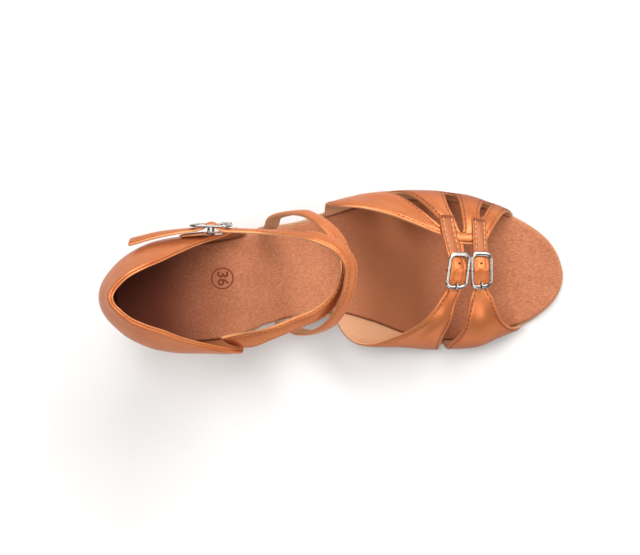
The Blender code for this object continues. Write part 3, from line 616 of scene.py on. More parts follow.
def finish_of(name, **sockets):
    """Material with a Principled shader whose plain sockets are set."""
    made = bpy.data.materials.new(name)
    made.use_nodes = True
    shader = made.node_tree.nodes["Principled BSDF"]
    for socket, value in sockets.items():
        shader.inputs[socket.replace("_", " ")].default_value = value
    return made, made.node_tree, shader


def noise(tree, size, detail=2.0, stretch=(1, 1, 1)):
    """Noise whose features are about size metres across, on the piece's own place."""
    place = add(tree, "ShaderNodeTexCoord").outputs["Object"]
    scaled = add(tree, "ShaderNodeMapping", {"Vector": place, "Scale": stretch}, vector_type="POINT")
    return add(tree, "ShaderNodeTexNoise",
               {"Vector": scaled.outputs["Vector"], "Scale": 1 / size, "Detail": detail}).outputs["Fac"]


def between(tree, factor, low, high, dark, light):
    """Colour that runs from dark to light as a factor runs from low to high."""
    ramp = add(tree, "ShaderNodeValToRGB", {"Fac": factor})
    ramp.color_ramp.elements[0].position = low
    ramp.color_ramp.elements[0].color = colour(dark)
    ramp.color_ramp.elements[1].position = high
    ramp.color_ramp.elements[1].color = colour(light)
    return ramp.outputs["Color"]


def bumped(tree, shader, height, depth, strength=1.0):
    relief = add(tree, "ShaderNodeBump", {"Height": height, "Distance": depth, "Strength": strength})
    tree.links.new(relief.outputs["Normal"], shader.inputs["Normal"])


# Duchess satin: filament warp floats, so it shines in its own warm colour and
# the shine breaks up along threads. Threads are 0.1 mm; they are drawn 0.5 mm
# wide, the least that shows at this picture's scale
def satin_finish(name, dark, light, shine=0.55, sole_shade=True):
    made, tree, shader = finish_of(name, Metallic=shine, Roughness=0.35, Specular_IOR_Level=0.6,
                                   Specular_Tint=colour("#E6B184"), Coat_Weight=0.15, Coat_Roughness=0.33)
    tone = between(tree, noise(tree, 14 * MM, 3), 0.3, 0.7, dark, light)
    # Painted shade: the satin darkens towards the sole
    if sole_shade:
        tone = darkened(tree, tone, place_along(tree, "Z"), SOLE_DARK, SOLE_SHADE_TONE)
    tree.links.new(tone, shader.inputs["Base Color"])
    threads = noise(tree, 0.55 * MM, 2, (1, 0.35, 1))
    bumped(tree, shader, threads, 0.05 * MM, 0.55)
    return made


def place_along(tree, axis):
    """Distance of a point from the origin along one axis."""
    place = add(tree, "ShaderNodeTexCoord").outputs["Object"]
    return add(tree, "ShaderNodeSeparateXYZ", {"Vector": place}).outputs[axis]


def darkened(tree, tone, measure, fade, dark):
    """Tone that is dark where a measure is low and clears as it crosses the fade."""
    clear = add(tree, "ShaderNodeMapRange", {"Value": measure, "From Min": fade[0], "From Max": fade[1]},
                interpolation_type="SMOOTHSTEP").outputs["Result"]
    return add(tree, "ShaderNodeMix", {"Factor": clear, "A": colour(dark), "B": tone},
               data_type="RGBA").outputs["Result"]


def painted_seat_shade(tree, tone, seat):
    return darkened(tree, tone, place_along(tree, "X"), SEAT_SHADE, seat)


def painted_ball_shade(tree, tone):
    along = place_along(tree, "X")
    off = add(tree, "ShaderNodeMath", {0: along, 1: BALL_SHADE_AT}, operation="SUBTRACT").outputs[0]
    away = add(tree, "ShaderNodeMath", {0: off}, operation="ABSOLUTE").outputs[0]
    return darkened(tree, tone, away, BALL_SHADE_HALF, BALL_SHADE_TONE)


# Suede: sanded leather, a short dull nap that lies in light and dark patches
def suede_finish(name, dark, light, nap, seat=None):
    made, tree, shader = finish_of(name, Roughness=0.93, Sheen_Weight=0.15, Sheen_Roughness=0.6,
                                   Sheen_Tint=colour("#F3BF9B"))
    fine = noise(tree, nap, 5, (0.5, 1, 1))
    broad = noise(tree, 16 * MM, 2)
    part = add(tree, "ShaderNodeMath", {0: broad, 1: 0.22}, operation="MULTIPLY").outputs[0]
    mixed = add(tree, "ShaderNodeMath", {0: fine, 1: 0.78, 2: part}, operation="MULTIPLY_ADD")
    tone = between(tree, mixed.outputs[0], 0.36, 0.64, dark, light)
    # Painted shade: the sock darkens towards the back of the seat and under the ball
    if seat:
        tone = painted_ball_shade(tree, painted_seat_shade(tree, tone, seat))
    tree.links.new(tone, shader.inputs["Base Color"])
    bumped(tree, shader, fine, 0.12 * MM, 0.7)
    return made


# Lining leather: thin smooth split leather, pale and matt
def lining_finish(name, dark, light, seat=None):
    made, tree, shader = finish_of(name, Roughness=0.62)
    grain = noise(tree, 0.8 * MM, 4)
    tone = between(tree, grain, 0.3, 0.7, dark, light)
    # Painted shade: the lining darkens towards the back of the seat
    if seat:
        tone = painted_seat_shade(tree, tone, seat)
    tree.links.new(tone, shader.inputs["Base Color"])
    bumped(tree, shader, grain, 0.05 * MM, 0.5)
    return made


# Sewing thread: twisted polyester, a soft shine
def thread_finish(name, code):
    made, tree, shader = finish_of(name, Base_Color=colour(code), Roughness=0.5, Sheen_Weight=0.2)
    bumped(tree, shader, noise(tree, 0.3 * MM, 1), 0.03 * MM, 0.6)
    return made


# Nickel plate on steel wire: bright, with faint polishing haze
def nickel_finish():
    made, tree, shader = finish_of("polished nickel plate", Base_Color=colour("#9B9895"), Metallic=1.0,
                                   Roughness=0.16)
    haze = noise(tree, 1.5 * MM, 3)
    spread = add(tree, "ShaderNodeMapRange", {"Value": haze, "To Min": 0.10, "To Max": 0.26})
    tree.links.new(spread.outputs["Result"], shader.inputs["Roughness"])
    return made


# Heel tip rubber: moulded, matt, a fine pitted face
def rubber_finish():
    made, tree, shader = finish_of("moulded tip rubber", Base_Color=colour("#33261F"), Roughness=0.72)
    bumped(tree, shader, noise(tree, 0.7 * MM, 3), 0.06 * MM, 0.6)
    return made


SATIN = satin_finish("tan duchess satin", "#B86336", "#C67648")
HEEL_SATIN = satin_finish("tan satin at the heel", "#B86336", "#C67648", 0.45, False)
BINDING_SATIN = satin_finish("tan satin binding", "#B86336", "#CA7A4A")
# Painted highlight: a lighter copy of the satin for folded edges and thin rolls
EDGE_HIGHLIGHT_SATIN = satin_finish("tan satin, painted highlight on a folded edge", "#C67848", "#D38A5B")
# Painted shade: a darker, duller copy of the satin for the billets' tails, where the threads catch less light
TAIL_SHADE_SATIN = satin_finish("tan satin in painted shade", "#95512F", "#A55F3C", 0.05)
# Painted shade: a still darker copy for the tails' tucked ends, which curve down into shade
TUCKED_SHADE_SATIN = satin_finish("tan satin in deeper painted shade", "#74381E", "#844428", 0.05)
# The sock's last tone is the painted shade at the back of the seat
SUEDE = suede_finish("tan suede sock", "#9C5A3A", "#B67655", 0.8 * MM, "#5A220C")
SOLE_SUEDE = suede_finish("brushed sole suede", "#A67A58", "#C49874", 1.1 * MM)
LINING = lining_finish("beige lining leather", "#B6825E", "#C5946F")
# Counter lining: partly a darker tan leather, partly painted shade inside the counter; its last tone is the
# painted shade at the back of the seat
DARK_LINING = lining_finish("tan lining leather", "#94542F", "#A8663C", "#4C1F10")
THREAD = thread_finish("brown thread", "#6C3414")
STRAP_THREAD = thread_finish("tan thread", "#CC8656")
PALE_THREAD = thread_finish("beige thread", "#E3B184")
NICKEL = nickel_finish()
RUBBER = rubber_finish()
# Punched hole: a matt disc as dark as the shade inside it
HOLE = finish_of("shaded strap hole", Base_Color=colour("#3A190B"), Roughness=0.9)[0]
# Stamp ink: dull dark brown, printed on the nap
INK = finish_of("brown stamp ink", Base_Color=colour("#6C2410"), Roughness=0.8)[0]


# Mesh making

def finished(name, mesh, looks, nodes=()):
    """Links a mesh as a piece of the shoe; points are measured from the bed's back."""
    mesh.transform(Matrix.Translation((-TOP_PIECE_CENTRE, 0, 0)))
    for look in looks:
        mesh.materials.append(look)
    mesh.shade_smooth()
    made = bpy.data.objects.new(name, mesh)
    bpy.context.scene.collection.objects.link(made)
    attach(made, "root")
    if nodes:
        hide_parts(*nodes)
    return made


def built(name, mesh, looks, nodes=()):
    """Piece of the shoe from an edited mesh, which it frees."""
    data = bpy.data.meshes.new(name)
    mesh.to_mesh(data)
    mesh.free()
    return finished(name, data, looks, nodes)


def lanes(width, slant, middle):
    """Distances across a strip from its left edge, dense beside both edges."""
    scale = np.minimum(1, width / (2 * EDGE_ZONE * slant)) * slant
    near = NEAR_EDGE[None, :] * scale[:, None]
    steps = np.linspace(0, 1, middle + 2)[None, 1:-1]
    left = near[:, -1:]
    rest = left + (width[:, None] - 2 * left) * steps
    return np.concatenate([near, rest, width[:, None] - near[:, ::-1]], 1)


def slant_of(points):
    """How much wider a strip is along X than square to its edge."""
    step = np.gradient(points, axis=0)
    length = np.linalg.norm(step, axis=1)
    square = np.sqrt(np.maximum(length ** 2 - step[:, 0] ** 2, (LEAST_SQUARE * length) ** 2))
    return length / square


def cloth_profile(away, seam, lined):
    """Height of the cloth's outer face over its wall, at distances from its edge."""
    relief = 0 * away
    if seam:
        relief = relief + PILLOW_HEIGHT * (1 - np.exp(-np.maximum(away - SEAM_AT, 0) / PILLOW_WIDTH))
        relief = relief - SEAM_DEPTH * np.exp(-((away - SEAM_AT) / SEAM_WIDTH) ** 2)
    if lined:
        relief = relief - GROOVE_DEPTH * np.exp(-((away - GROOVE_AT) / GROOVE_WIDTH) ** 2)
    return relief


def cloth(name, grids, wall, looks, nodes=(), seam=True, lined=True, edge=EDGE_ROUND):
    """Closed cloth wall on joined grids of (points, outward, rise, look, first kept column).

    The points are its inner face. Grids that touch are welded, and the distance
    from the border that is left gives the rounded edge, its fold and its seam.
    """
    sheet = bmesh.new()
    rise_layer = sheet.verts.layers.float.new("rise")
    facing = 0
    for points, outward, rise, look, kept in grids:
        rows, cols = points.shape[:2]
        rise = np.broadcast_to(rise, (rows, cols))
        look = np.broadcast_to(look, rows)
        kept = np.broadcast_to(kept, rows)
        verts = [[sheet.verts.new(p) for p in row] for row in points]
        for r in range(rows):
            for c in range(cols):
                verts[r][c][rise_layer] = rise[r, c]
        for r in range(rows - 1):
            for c in range(kept[r + 1], cols - 1):
                ring = [verts[r][c], verts[r + 1][c], verts[r + 1][c + 1], verts[r][c + 1]]
                sheet.faces.new(ring).material_index = int(look[r])
        row, col = rows // 2, cols // 2
        middle = points[row, col]
        square = np.cross(points[row + 1, col] - middle, points[row, col + 1] - middle)
        facing += np.sign(np.dot(square, outward[row, col]))
    loose = [v for v in sheet.verts if not v.link_faces]
    bmesh.ops.delete(sheet, geom=loose, context="VERTS")
    bmesh.ops.remove_doubles(sheet, verts=sheet.verts, dist=TOUCH)
    if facing < 0:
        bmesh.ops.reverse_faces(sheet, faces=sheet.faces)
    sheet.normal_update()
    sheet.verts.index_update()
    border = [e for e in sheet.edges if e.is_boundary]
    marks = []
    for e in border:
        a, b = e.verts[0].co, e.verts[1].co
        count = max(1, int((b - a).length / BORDER_STEP))
        marks.extend(a.lerp(b, k / count) for k in range(count + 1))
    tree = KDTree(len(marks))
    for k, mark in enumerate(marks):
        tree.insert(mark, k)
    tree.balance()
    at_border = {v.index for e in border for v in e.verts}
    points = np.array([v.co for v in sheet.verts])
    normals = np.array([v.normal for v in sheet.verts])
    rise = np.array([v[rise_layer] for v in sheet.verts])
    away = np.array([0 if v.index in at_border else tree.find(v.co)[2] for v in sheet.verts])
    swell = np.sqrt(1 - (1 - np.clip(away / edge, 0, 1)) ** 2)
    middle = wall / 2 + rise
    outer = points + normals * (middle + swell * (wall / 2 + cloth_profile(away, seam, lined)))[:, None]
    inner = points + normals * (middle - swell * wall / 2)[:, None]
    wall_mesh = bmesh.new()
    front = [wall_mesh.verts.new(p) for p in outer]
    back = [front[k] if k in at_border else wall_mesh.verts.new(p) for k, p in enumerate(inner)]
    for face in sheet.faces:
        ring = [v.index for v in face.verts]
        if all(k in at_border for k in ring):
            continue
        # Faces on a folded edge take the last look, on lined cloth a painted highlight
        folded = lined and max(away[k] for k in ring) < EDGE_FOLD + TOUCH
        look = len(looks) - 1 if folded else face.material_index
        wall_mesh.faces.new([front[k] for k in ring]).material_index = look
        wall_mesh.faces.new([back[k] for k in reversed(ring)]).material_index = 1
    sheet.free()
    loose = [v for v in wall_mesh.verts if not v.link_faces]
    bmesh.ops.delete(wall_mesh, geom=loose, context="VERTS")
    return built(name, wall_mesh, looks, nodes)


def on_last(stations, ways, out):
    """Grid on the last with its outward directions."""
    points = last_point(stations, ways, out)
    return points, last_point(stations, ways, np.asarray(out) + MM) - points


def tube(name, points, radius, look, nodes=(), sides=16, closed=False, flat=1.0, up=(0, 0, 1)):
    """Round wire along a path, its ends closed with a dome."""
    points = np.asarray(points, float)
    radius = np.broadcast_to(np.asarray(radius, float), len(points))
    if closed:
        along = unit(np.roll(points, -1, 0) - np.roll(points, 1, 0))
    else:
        along = unit(np.gradient(points, axis=0))
        tips = [0.25, 0.6, 0.85]
        heads = np.array([points[0] - along[0] * radius[0] * (1 - t) for t in tips])
        tails = np.array([points[-1] + along[-1] * radius[-1] * (1 - t) for t in reversed(tips)])
        caps = np.sqrt([1 - (1 - t) ** 2 for t in tips])
        points = np.concatenate([heads, points, tails])
        along = np.concatenate([np.repeat(along[:1], 3, 0), along, np.repeat(along[-1:], 3, 0)])
        radius = np.concatenate([caps * radius[0], radius, caps[::-1] * radius[-1]])
    up = np.broadcast_to(np.asarray(up, float), points.shape)
    beside = unit(np.cross(along, up))
    above = np.cross(beside, along)
    angles = 2 * pi * np.arange(sides)[None, :, None] / sides
    round_it = np.cos(angles) * beside[:, None] + flat * np.sin(angles) * above[:, None]
    rings = points[:, None] + radius[:, None, None] * round_it
    mesh = bmesh.new()
    verts = [[mesh.verts.new(p) for p in ring] for ring in rings]
    pairs = list(zip(verts, verts[1:] + verts[:1])) if closed else list(zip(verts, verts[1:]))
    for ring, after in pairs:
        for k in range(sides):
            mesh.faces.new([ring[k], ring[k - 1], after[k - 1], after[k]])
    if not closed:
        mesh.faces.new(verts[0])
        mesh.faces.new(verts[-1])
    bmesh.ops.recalc_face_normals(mesh, faces=mesh.faces)
    return built(name, mesh, [look], nodes)


# Stitches, laid along rows by one tree

def stitch_tree():
    """Lays short lengths of thread along curves."""
    tree = bpy.data.node_groups.new("stitch row", "GeometryNodeTree")
    face = tree.interface
    face.new_socket("Rows", in_out="INPUT", socket_type="NodeSocketGeometry")
    for label in ("Spacing", "Stitch length", "Thread radius"):
        face.new_socket(label, in_out="INPUT", socket_type="NodeSocketFloat")
    face.new_socket("Thread", in_out="INPUT", socket_type="NodeSocketMaterial")
    face.new_socket("Stitches", in_out="OUTPUT", socket_type="NodeSocketGeometry")
    given = add(tree, "NodeGroupInput").outputs
    points = add(tree, "GeometryNodeCurveToPoints", {"Curve": given["Rows"], "Length": given["Spacing"]},
                 mode="LENGTH").outputs
    turned = add(tree, "FunctionNodeAlignRotationToVector", {"Vector": points["Tangent"]}, axis="Z")
    half = add(tree, "ShaderNodeMath", {0: given["Stitch length"], 1: 0.5}, operation="MULTIPLY").outputs[0]
    scale = add(tree, "ShaderNodeCombineXYZ",
                {"X": given["Thread radius"], "Y": given["Thread radius"], "Z": half}).outputs[0]
    stitch = add(tree, "GeometryNodeMeshUVSphere", {"Segments": 8, "Rings": 6, "Radius": 1.0}).outputs["Mesh"]
    laid = add(tree, "GeometryNodeInstanceOnPoints", {
        "Points": points["Points"], "Instance": stitch, "Rotation": turned.outputs[0], "Scale": scale})
    real = add(tree, "GeometryNodeRealizeInstances", {"Geometry": laid.outputs[0]})
    painted = add(tree, "GeometryNodeSetMaterial",
                  {"Geometry": real.outputs[0], "Material": given["Thread"]})
    add(tree, "NodeGroupOutput", {"Stitches": painted.outputs[0]})
    return tree


STITCH_TREE = stitch_tree()
STITCH_SPACING = 2.6 * MM
STITCH_LENGTH = 1.9 * MM
THREAD_RADIUS = 0.2 * MM


def stitches(name, rows, thread=None):
    """Stitches along rows of points, as one plain mesh."""
    thread = thread or THREAD
    curve = bpy.data.curves.new(name + "_rows", "CURVE")
    curve.dimensions = "3D"
    for row in rows:
        spline = curve.splines.new("POLY")
        spline.points.add(len(row) - 1)
        spline.points.foreach_set("co", np.column_stack([row, np.ones(len(row))]).ravel())
    guide = bpy.data.objects.new(name + "_rows", curve)
    bpy.context.scene.collection.objects.link(guide)
    layer = guide.modifiers.new("stitches", "NODES")
    layer.node_group = STITCH_TREE
    sizes = {"Spacing": STITCH_SPACING, "Stitch length": STITCH_LENGTH, "Thread radius": THREAD_RADIUS,
             "Thread": thread}
    for socket in STITCH_TREE.interface.items_tree:
        if socket.name in sizes:
            layer[socket.identifier] = sizes[socket.name]
    ready = guide.evaluated_get(bpy.context.evaluated_depsgraph_get())
    mesh = bpy.data.meshes.new_from_object(ready)
    bpy.data.objects.remove(guide)
    bpy.data.curves.remove(curve)
    mesh.materials.clear()
    return finished(name, mesh, [thread])


# Sole

def plate(name, margin, depth, wall, start, rows, look, nodes, edge):
    """Layer of the sole with a rounded rim; depth is its underside's, under the bed."""
    turns = np.linspace(max(turn_of(start / BED_LENGTH), TIP_TURN), pi - TIP_TURN, rows)
    along = station_of(turns)
    x_left, y_left = rim_plan(LATERAL, turns, margin * column(SOLE_RIM, 1, along))
    x_right, y_right = rim_plan(MEDIAL, turns, margin * column(SOLE_RIM, 2, along))
    width = np.maximum(np.hypot(x_left - x_right, y_left - y_right), 0.02 * MM)
    across = lanes(width, np.ones(rows), 30) / width[:, None]
    x = x_left[:, None] * (1 - across) + x_right[:, None] * across
    y = y_left[:, None] * (1 - across) + y_right[:, None] * across
    points = bed_point(x, y, depth)
    up = np.broadcast_to(np.array([0, 0, 1.0]), points.shape)
    return cloth(name, [(points, up, 0, 0, 0)], wall, [look, look], nodes, False, False, edge)


def heel_loops(levels, count):
    """Loops of the heel from the top piece up to the seat, with a rounded breast."""
    turns = np.linspace(turn_of(BREAST_AT / BED_LENGTH), 0, count)
    x_left, y_left = rim_plan(LATERAL, turns, RIM)
    x_right, y_right = rim_plan(MEDIAL, turns[::-1][1:], RIM)
    x = np.concatenate([x_left, x_right])
    y = np.concatenate([y_left, y_right])
    low = TOP_PIECE_WALL + GAP
    front_low = TOP_PIECE_BACK + TOP_PIECE_LENGTH
    half_seat = np.abs(y).max()
    along = (x - x.min()) / (x.max() - x.min())
    seat = bed_point(x, y, INSOLE_WALL + GAP)
    loops = []
    for height in levels:
        back, breast, width = (column(HEEL, k, height) for k in (1, 2, 3))
        front = front_low + (x.max() - front_low) * breast
        rear = TOP_PIECE_BACK * back
        half = TOP_PIECE_WIDTH / 2 + (half_seat - TOP_PIECE_WIDTH / 2) * width
        loop = np.stack([rear + (front - rear) * along, y / half_seat * half,
                         low + (seat[:, 2] - low) * height], -1)
        loops.append(close_breast(loop))
    return loops


def close_breast(loop, count=200, blend=9):
    """Even closed loop through the open one, its corners eased."""
    ring = np.vstack([loop, loop[:1]])
    steps = np.linalg.norm(np.diff(ring, axis=0), axis=1)
    knots = np.concatenate([[0], np.cumsum(steps)])
    places = np.linspace(0, knots[-1], count, endpoint=False)
    even = np.stack([np.interp(places, knots, ring[:, k]) for k in range(3)], -1)
    reach = blend // 2
    return averaged(np.vstack([even[-reach:], even, even[:reach]]), blend)


def averaged(points, width):
    """Each run of so many points averaged, its middle counting most."""
    kernel = np.hanning(width + 2)[1:-1]
    kernel /= kernel.sum()
    return np.stack([np.convolve(points[:, k], kernel, "valid") for k in range(3)], -1)


def loft(name, loops, look, nodes):
    """Skin over closed loops, with a middle point in each end."""
    mesh = bmesh.new()
    rings = [[mesh.verts.new(p) for p in loop] for loop in loops]
    count = len(rings[0])
    for low, high in zip(rings, rings[1:]):
        for k in range(count):
            after = (k + 1) % count
            mesh.faces.new([low[k], low[after], high[after], high[k]])
    for ring, loop in ((rings[0], loops[0]), (rings[-1], loops[-1])):
        centre = mesh.verts.new(loop.mean(0))
        for k in range(count):
            mesh.faces.new([ring[k], ring[(k + 1) % count], centre])
    bmesh.ops.recalc_face_normals(mesh, faces=mesh.faces)
    made = built(name, mesh, [look], nodes)
    made.data.set_sharp_from_angle(angle=HEEL_CREASE)


def build_sole():
    plate("insole_sock", 0, INSOLE_WALL, INSOLE_WALL, 0, INSOLE_ROWS, SUEDE, ["insole"],
          INSOLE_EDGE)
    depth = INSOLE_WALL + GAP + OUTSOLE_WALL
    plate("outsole_sheet", RIM, depth, OUTSOLE_WALL, BREAST_AT + BREAST_GAP, OUTSOLE_ROWS, SOLE_SUEDE,
          ["outsole"], OUTSOLE_EDGE)
    loops = heel_loops(np.linspace(0, 1, HEEL_LEVELS), HEEL_TURNS)
    loft("heel_cover", loops, HEEL_SATIN, ["heel_block"])
    foot = loops[0]
    centre = foot.mean(0)
    tip = []
    for height, inset in HEEL_TIP:
        loop = foot.copy()
        loop[:, :2] -= unit(loop[:, :2] - centre[:2]) * inset * MM
        loop[:, 2] = height * MM
        tip.append(loop)
    loft("heel_tip", tip, RUBBER, ["heel_top_piece"])


def build_stamp():
    """Size number in a ring, printed on the seat and read from the toe's side."""
    centre = np.array([STAMP_AT * BED_LENGTH, STAMP_ACROSS * HALF_BALL])
    words = bpy.data.curves.new("stamp_text", "FONT")
    words.body = STAMP_TEXT
    words.size = STAMP_TEXT_SIZE
    words.align_x = "CENTER"
    words.align_y = "CENTER"
    words.offset = STAMP_TEXT_WEIGHT
    words.resolution_u = 6
    guide = bpy.data.objects.new("stamp_text", words)
    bpy.context.scene.collection.objects.link(guide)
    ready = guide.evaluated_get(bpy.context.evaluated_depsgraph_get())
    flat = bpy.data.meshes.new_from_object(ready)
    bpy.data.objects.remove(guide)
    mesh = bmesh.new()
    mesh.from_mesh(flat)
    for k in range(STAMP_SEGMENTS):
        corners = []
        for turn, radius in ((k, -1), (k + 1, -1), (k + 1, 1), (k, 1)):
            angle = 2 * pi * turn / STAMP_SEGMENTS
            reach = STAMP_RADIUS + radius * STAMP_LINE
            corners.append(mesh.verts.new((reach * cos(angle), reach * sin(angle), 0)))
        mesh.faces.new(corners)
    bmesh.ops.remove_doubles(mesh, verts=mesh.verts, dist=TOUCH)
    bmesh.ops.triangulate(mesh, faces=mesh.faces)
    flat_points = np.array([v.co for v in mesh.verts])
    x = centre[0] + flat_points[:, 1]
    y = centre[1] - flat_points[:, 0]
    top = bed_point(x, y, -STAMP_OVER)
    for vert, place in zip(mesh.verts, top):
        vert.co = place
    bmesh.ops.recalc_face_normals(mesh, faces=mesh.faces)
    skin = bmesh.ops.extrude_face_region(mesh, geom=mesh.faces[:])
    for piece in skin["geom"]:
        if isinstance(piece, bmesh.types.BMVert):
            piece.co.z -= STAMP_SINK
    bmesh.ops.recalc_face_normals(mesh, faces=mesh.faces)
    built("size_stamp", mesh, [INK]).data.shade_flat()


# Upper

def counter_end(side, level):
    """Station where the counter ends at a level from its base to its rounded tip."""
    end = COUNTER_BASE[side] + (COUNTER_TIP[side] - COUNTER_BASE[side]) * level
    turn = np.clip((level - TIP_ROUND_FROM[side]) / (1 - TIP_ROUND_FROM[side]), 0, 1)
    return end - TIP_ROUND[side] / BED_LENGTH * (1 - np.sqrt(1 - turn ** 2))


def round_counter(step, level):
    """Side, station and height of the counter's top at a share of the way from back to tip."""
    side = LATERAL if step >= 0 else MEDIAL
    station = station_of(abs(step) * turn_of(counter_end(side, level)))
    return side, station, COUNTER_HEIGHT * column(TOPLINE, TOP_HEIGHT, station)


def build_counter():
    around = np.linspace(-1, 1, COUNTER_TURNS)
    levels = np.linspace(0, 1, COUNTER_ROWS) ** 0.9
    points = np.zeros((len(levels), len(around), 3))
    outward = np.zeros_like(points)
    for c, step in enumerate(around):
        side, station, high = round_counter(step, levels)
        height = -TURN_UNDER + (high + TURN_UNDER) * levels
        points[:, c] = counter_point(side, station, height, -COUNTER_WALL)
        outward[:, c] = counter_point(side, station, height, 0) - points[:, c]
    looks = [HEEL_SATIN, DARK_LINING, HEEL_SATIN]
    cloth("counter_cover", [(points, outward, 0, 0, 0)], COUNTER_WALL, looks, ["heel_counter"],
          True, False)
    build_binding()


def build_binding():
    """Two rolls along the counter's top: satin outside, lining inside."""
    down = 1 - np.linspace(0.94, 0, ROLL_DOWN) ** 2
    level = np.concatenate([down, np.ones(ROLL_ROUND), down[::-1]])
    tip = np.ones(ROLL_DOWN)
    around = np.concatenate([-tip, np.linspace(-1, 1, ROLL_ROUND + 2)[1:-1], tip])
    for name, (out, radius), look in (("binding_outer", OUTER_ROLL, BINDING_SATIN),
                                      ("binding_inner", INNER_ROLL, EDGE_HIGHLIGHT_SATIN)):
        path = []
        for step, up in zip(around, level):
            side, station, high = round_counter(step, up)
            over = BINDING_RISE * np.clip(up * 8 - 7, 0, 1)
            height = -TURN_UNDER + (high + TURN_UNDER) * up + over
            path.append(counter_point(side, station, height, out * MM))
        tube(name, eased(np.array(path), 7), radius * MM, look, up=(0.02, 0.01, 1))
    row = []
    for step in np.linspace(-0.97, 0.97, 300):
        side = LATERAL if step >= 0 else MEDIAL
        station = station_of(abs(step) * turn_of(COUNTER_TIP[side]))
        high = COUNTER_HEIGHT * column(TOPLINE, TOP_HEIGHT, station)
        row.append(counter_point(side, station, high - BINDING_SEAM, 0.12 * MM))
    stitches("binding_stitches", [np.array(row)], STRAP_THREAD)


def eased(points, width):
    """Path with its corners rounded over a number of points; its ends stay."""
    reach = width // 2
    padded = np.vstack([np.repeat(points[:1], reach, 0), points, np.repeat(points[-1:], reach, 0)])
    return averaged(padded, width)


def gap_ease(way, start, end):
    """1 inside a cut-out between two bands, 0 where its ends close."""
    rise = np.clip((way - start) / CUT_OPENS, 0, 1)
    fall = np.clip((end - way) / CUT_CLOSES, 0, 1)
    return np.sin(rise * pi / 2) * np.sin(fall * pi / 2)


def lateral_lines(ways):
    """Stations of the bands' eight edges, with the cut-outs closed at their ends."""
    reach = np.maximum(ways, 0)
    lines = [column(LATERAL_EDGES, k, reach) for k in range(1, 9)]
    for k, start, end in CUT_OUTS:
        centre = (lines[k] + lines[k + 1]) / 2
        half = (lines[k + 1] - lines[k]) / 2 * gap_ease(ways, start, end)
        lines[k], lines[k + 1] = centre - half, centre + half
    return lines


def creased(stations, ways, creases):
    """Height of the listed folds at each point; a fold fades out at both ends."""
    x = stations * BED_LENGTH
    y = ways * BAND_GIRTH
    total = np.zeros(np.broadcast_shapes(x.shape, y.shape))
    for start_at, start_way, end_at, end_way, half, height in creases:
        run_x = (end_at - start_at) * BED_LENGTH
        run_y = (end_way - start_way) * BAND_GIRTH
        from_x = x - start_at * BED_LENGTH
        from_y = y - start_way * BAND_GIRTH
        along = np.clip((from_x * run_x + from_y * run_y) / (run_x ** 2 + run_y ** 2), 0, 1)
        off = np.hypot(from_x - along * run_x, from_y - along * run_y)
        total += height * MM * np.sin(pi * along) ** 0.7 * np.exp(-(off / (half * MM)) ** 2)
    return total


def build_vamp_lateral():
    """Four bands cut from one piece of cloth, joined at the sole and at the yoke."""
    ways = np.concatenate([[-TURN_UNDER, -TURN_UNDER / 2], np.linspace(0, CHAPES_END, 130)])
    lines = lateral_lines(ways)
    bands = [(0, 1, 14), (2, 3, 12), (4, 5, 10), (6, 7, 8)]
    hem = int(np.searchsorted(ways, YOKE_HEM))
    grids = []
    for left, right, middle in bands:
        width = (lines[right] - lines[left]) * BED_LENGTH
        slant = slant_of(last_point(lines[left], ways, 0))
        stations = lines[left][:, None] + lanes(width, slant, middle) / BED_LENGTH
        kept = np.zeros(len(ways), int)
        if left == 4:
            start = int(np.searchsorted(stations[hem], lines[right][hem] - CHAPE_FLARE))
            kept[hem + 1:] = start
            fade = np.clip((CHAPE_FLARE_END - ways[hem:]) / (CHAPE_FLARE_END - ways[hem]), 0.03, 1) ** 0.5
            from_edge = stations[hem] - lines[right][hem]
            stations[hem:] = lines[right][hem:, None] + from_edge[None, :] * fade[:, None]
        grid = np.repeat(ways[:, None], stations.shape[1], 1)
        points, outward = on_last(stations, grid, EDGE_GAP)
        grids.append((points, outward, creased(stations, grid, LATERAL_FOLDS), 0, kept))
    cloth("vamp_lateral_cover", grids, BAND_WALL, [SATIN, LINING, EDGE_HIGHLIGHT_SATIN], ["vamp_lateral"])


def build_vamp_seams():
    """Stitch rows beside the edges of the bands, their cut-outs and their tails."""
    rows = []
    for k, (start, stop) in enumerate(SEAM_REACHES):
        ways = np.linspace(start, stop, 60)
        station = lateral_lines(ways)[k]
        inward = 1 if k % 2 == 0 else -1
        slant = slant_of(last_point(station, ways, 0))
        rows.append(last_point(station + inward * SEAM_AT * slant / BED_LENGTH, ways, EDGE_GAP + BAND_WALL))
    hem = np.linspace(*YOKE_HEM_SEAM, 12)
    rows.append(last_point(hem, YOKE_HEM - 0.018 + 0 * hem, EDGE_GAP + BAND_WALL))
    pale = []
    for k in (1, 2, 3, 4):
        inward = 1 if k % 2 else -1
        for start, stop, keep in ((0.285, TAIL_END, pale), (0.55, 0.995, rows)):
            ways = np.linspace(start, stop, 80)
            left = k if k % 2 else k - 1
            station = medial_lines(left, left + 1, ways)[k - left]
            slant = slant_of(last_point(station, ways, 0))
            place = station + inward * SEAM_AT * slant / BED_LENGTH
            keep.append(last_point(place, ways, billet_face(ways)))
    stitches("band_stitches", rows)
    stitches("tail_stitches", pale, PALE_THREAD)


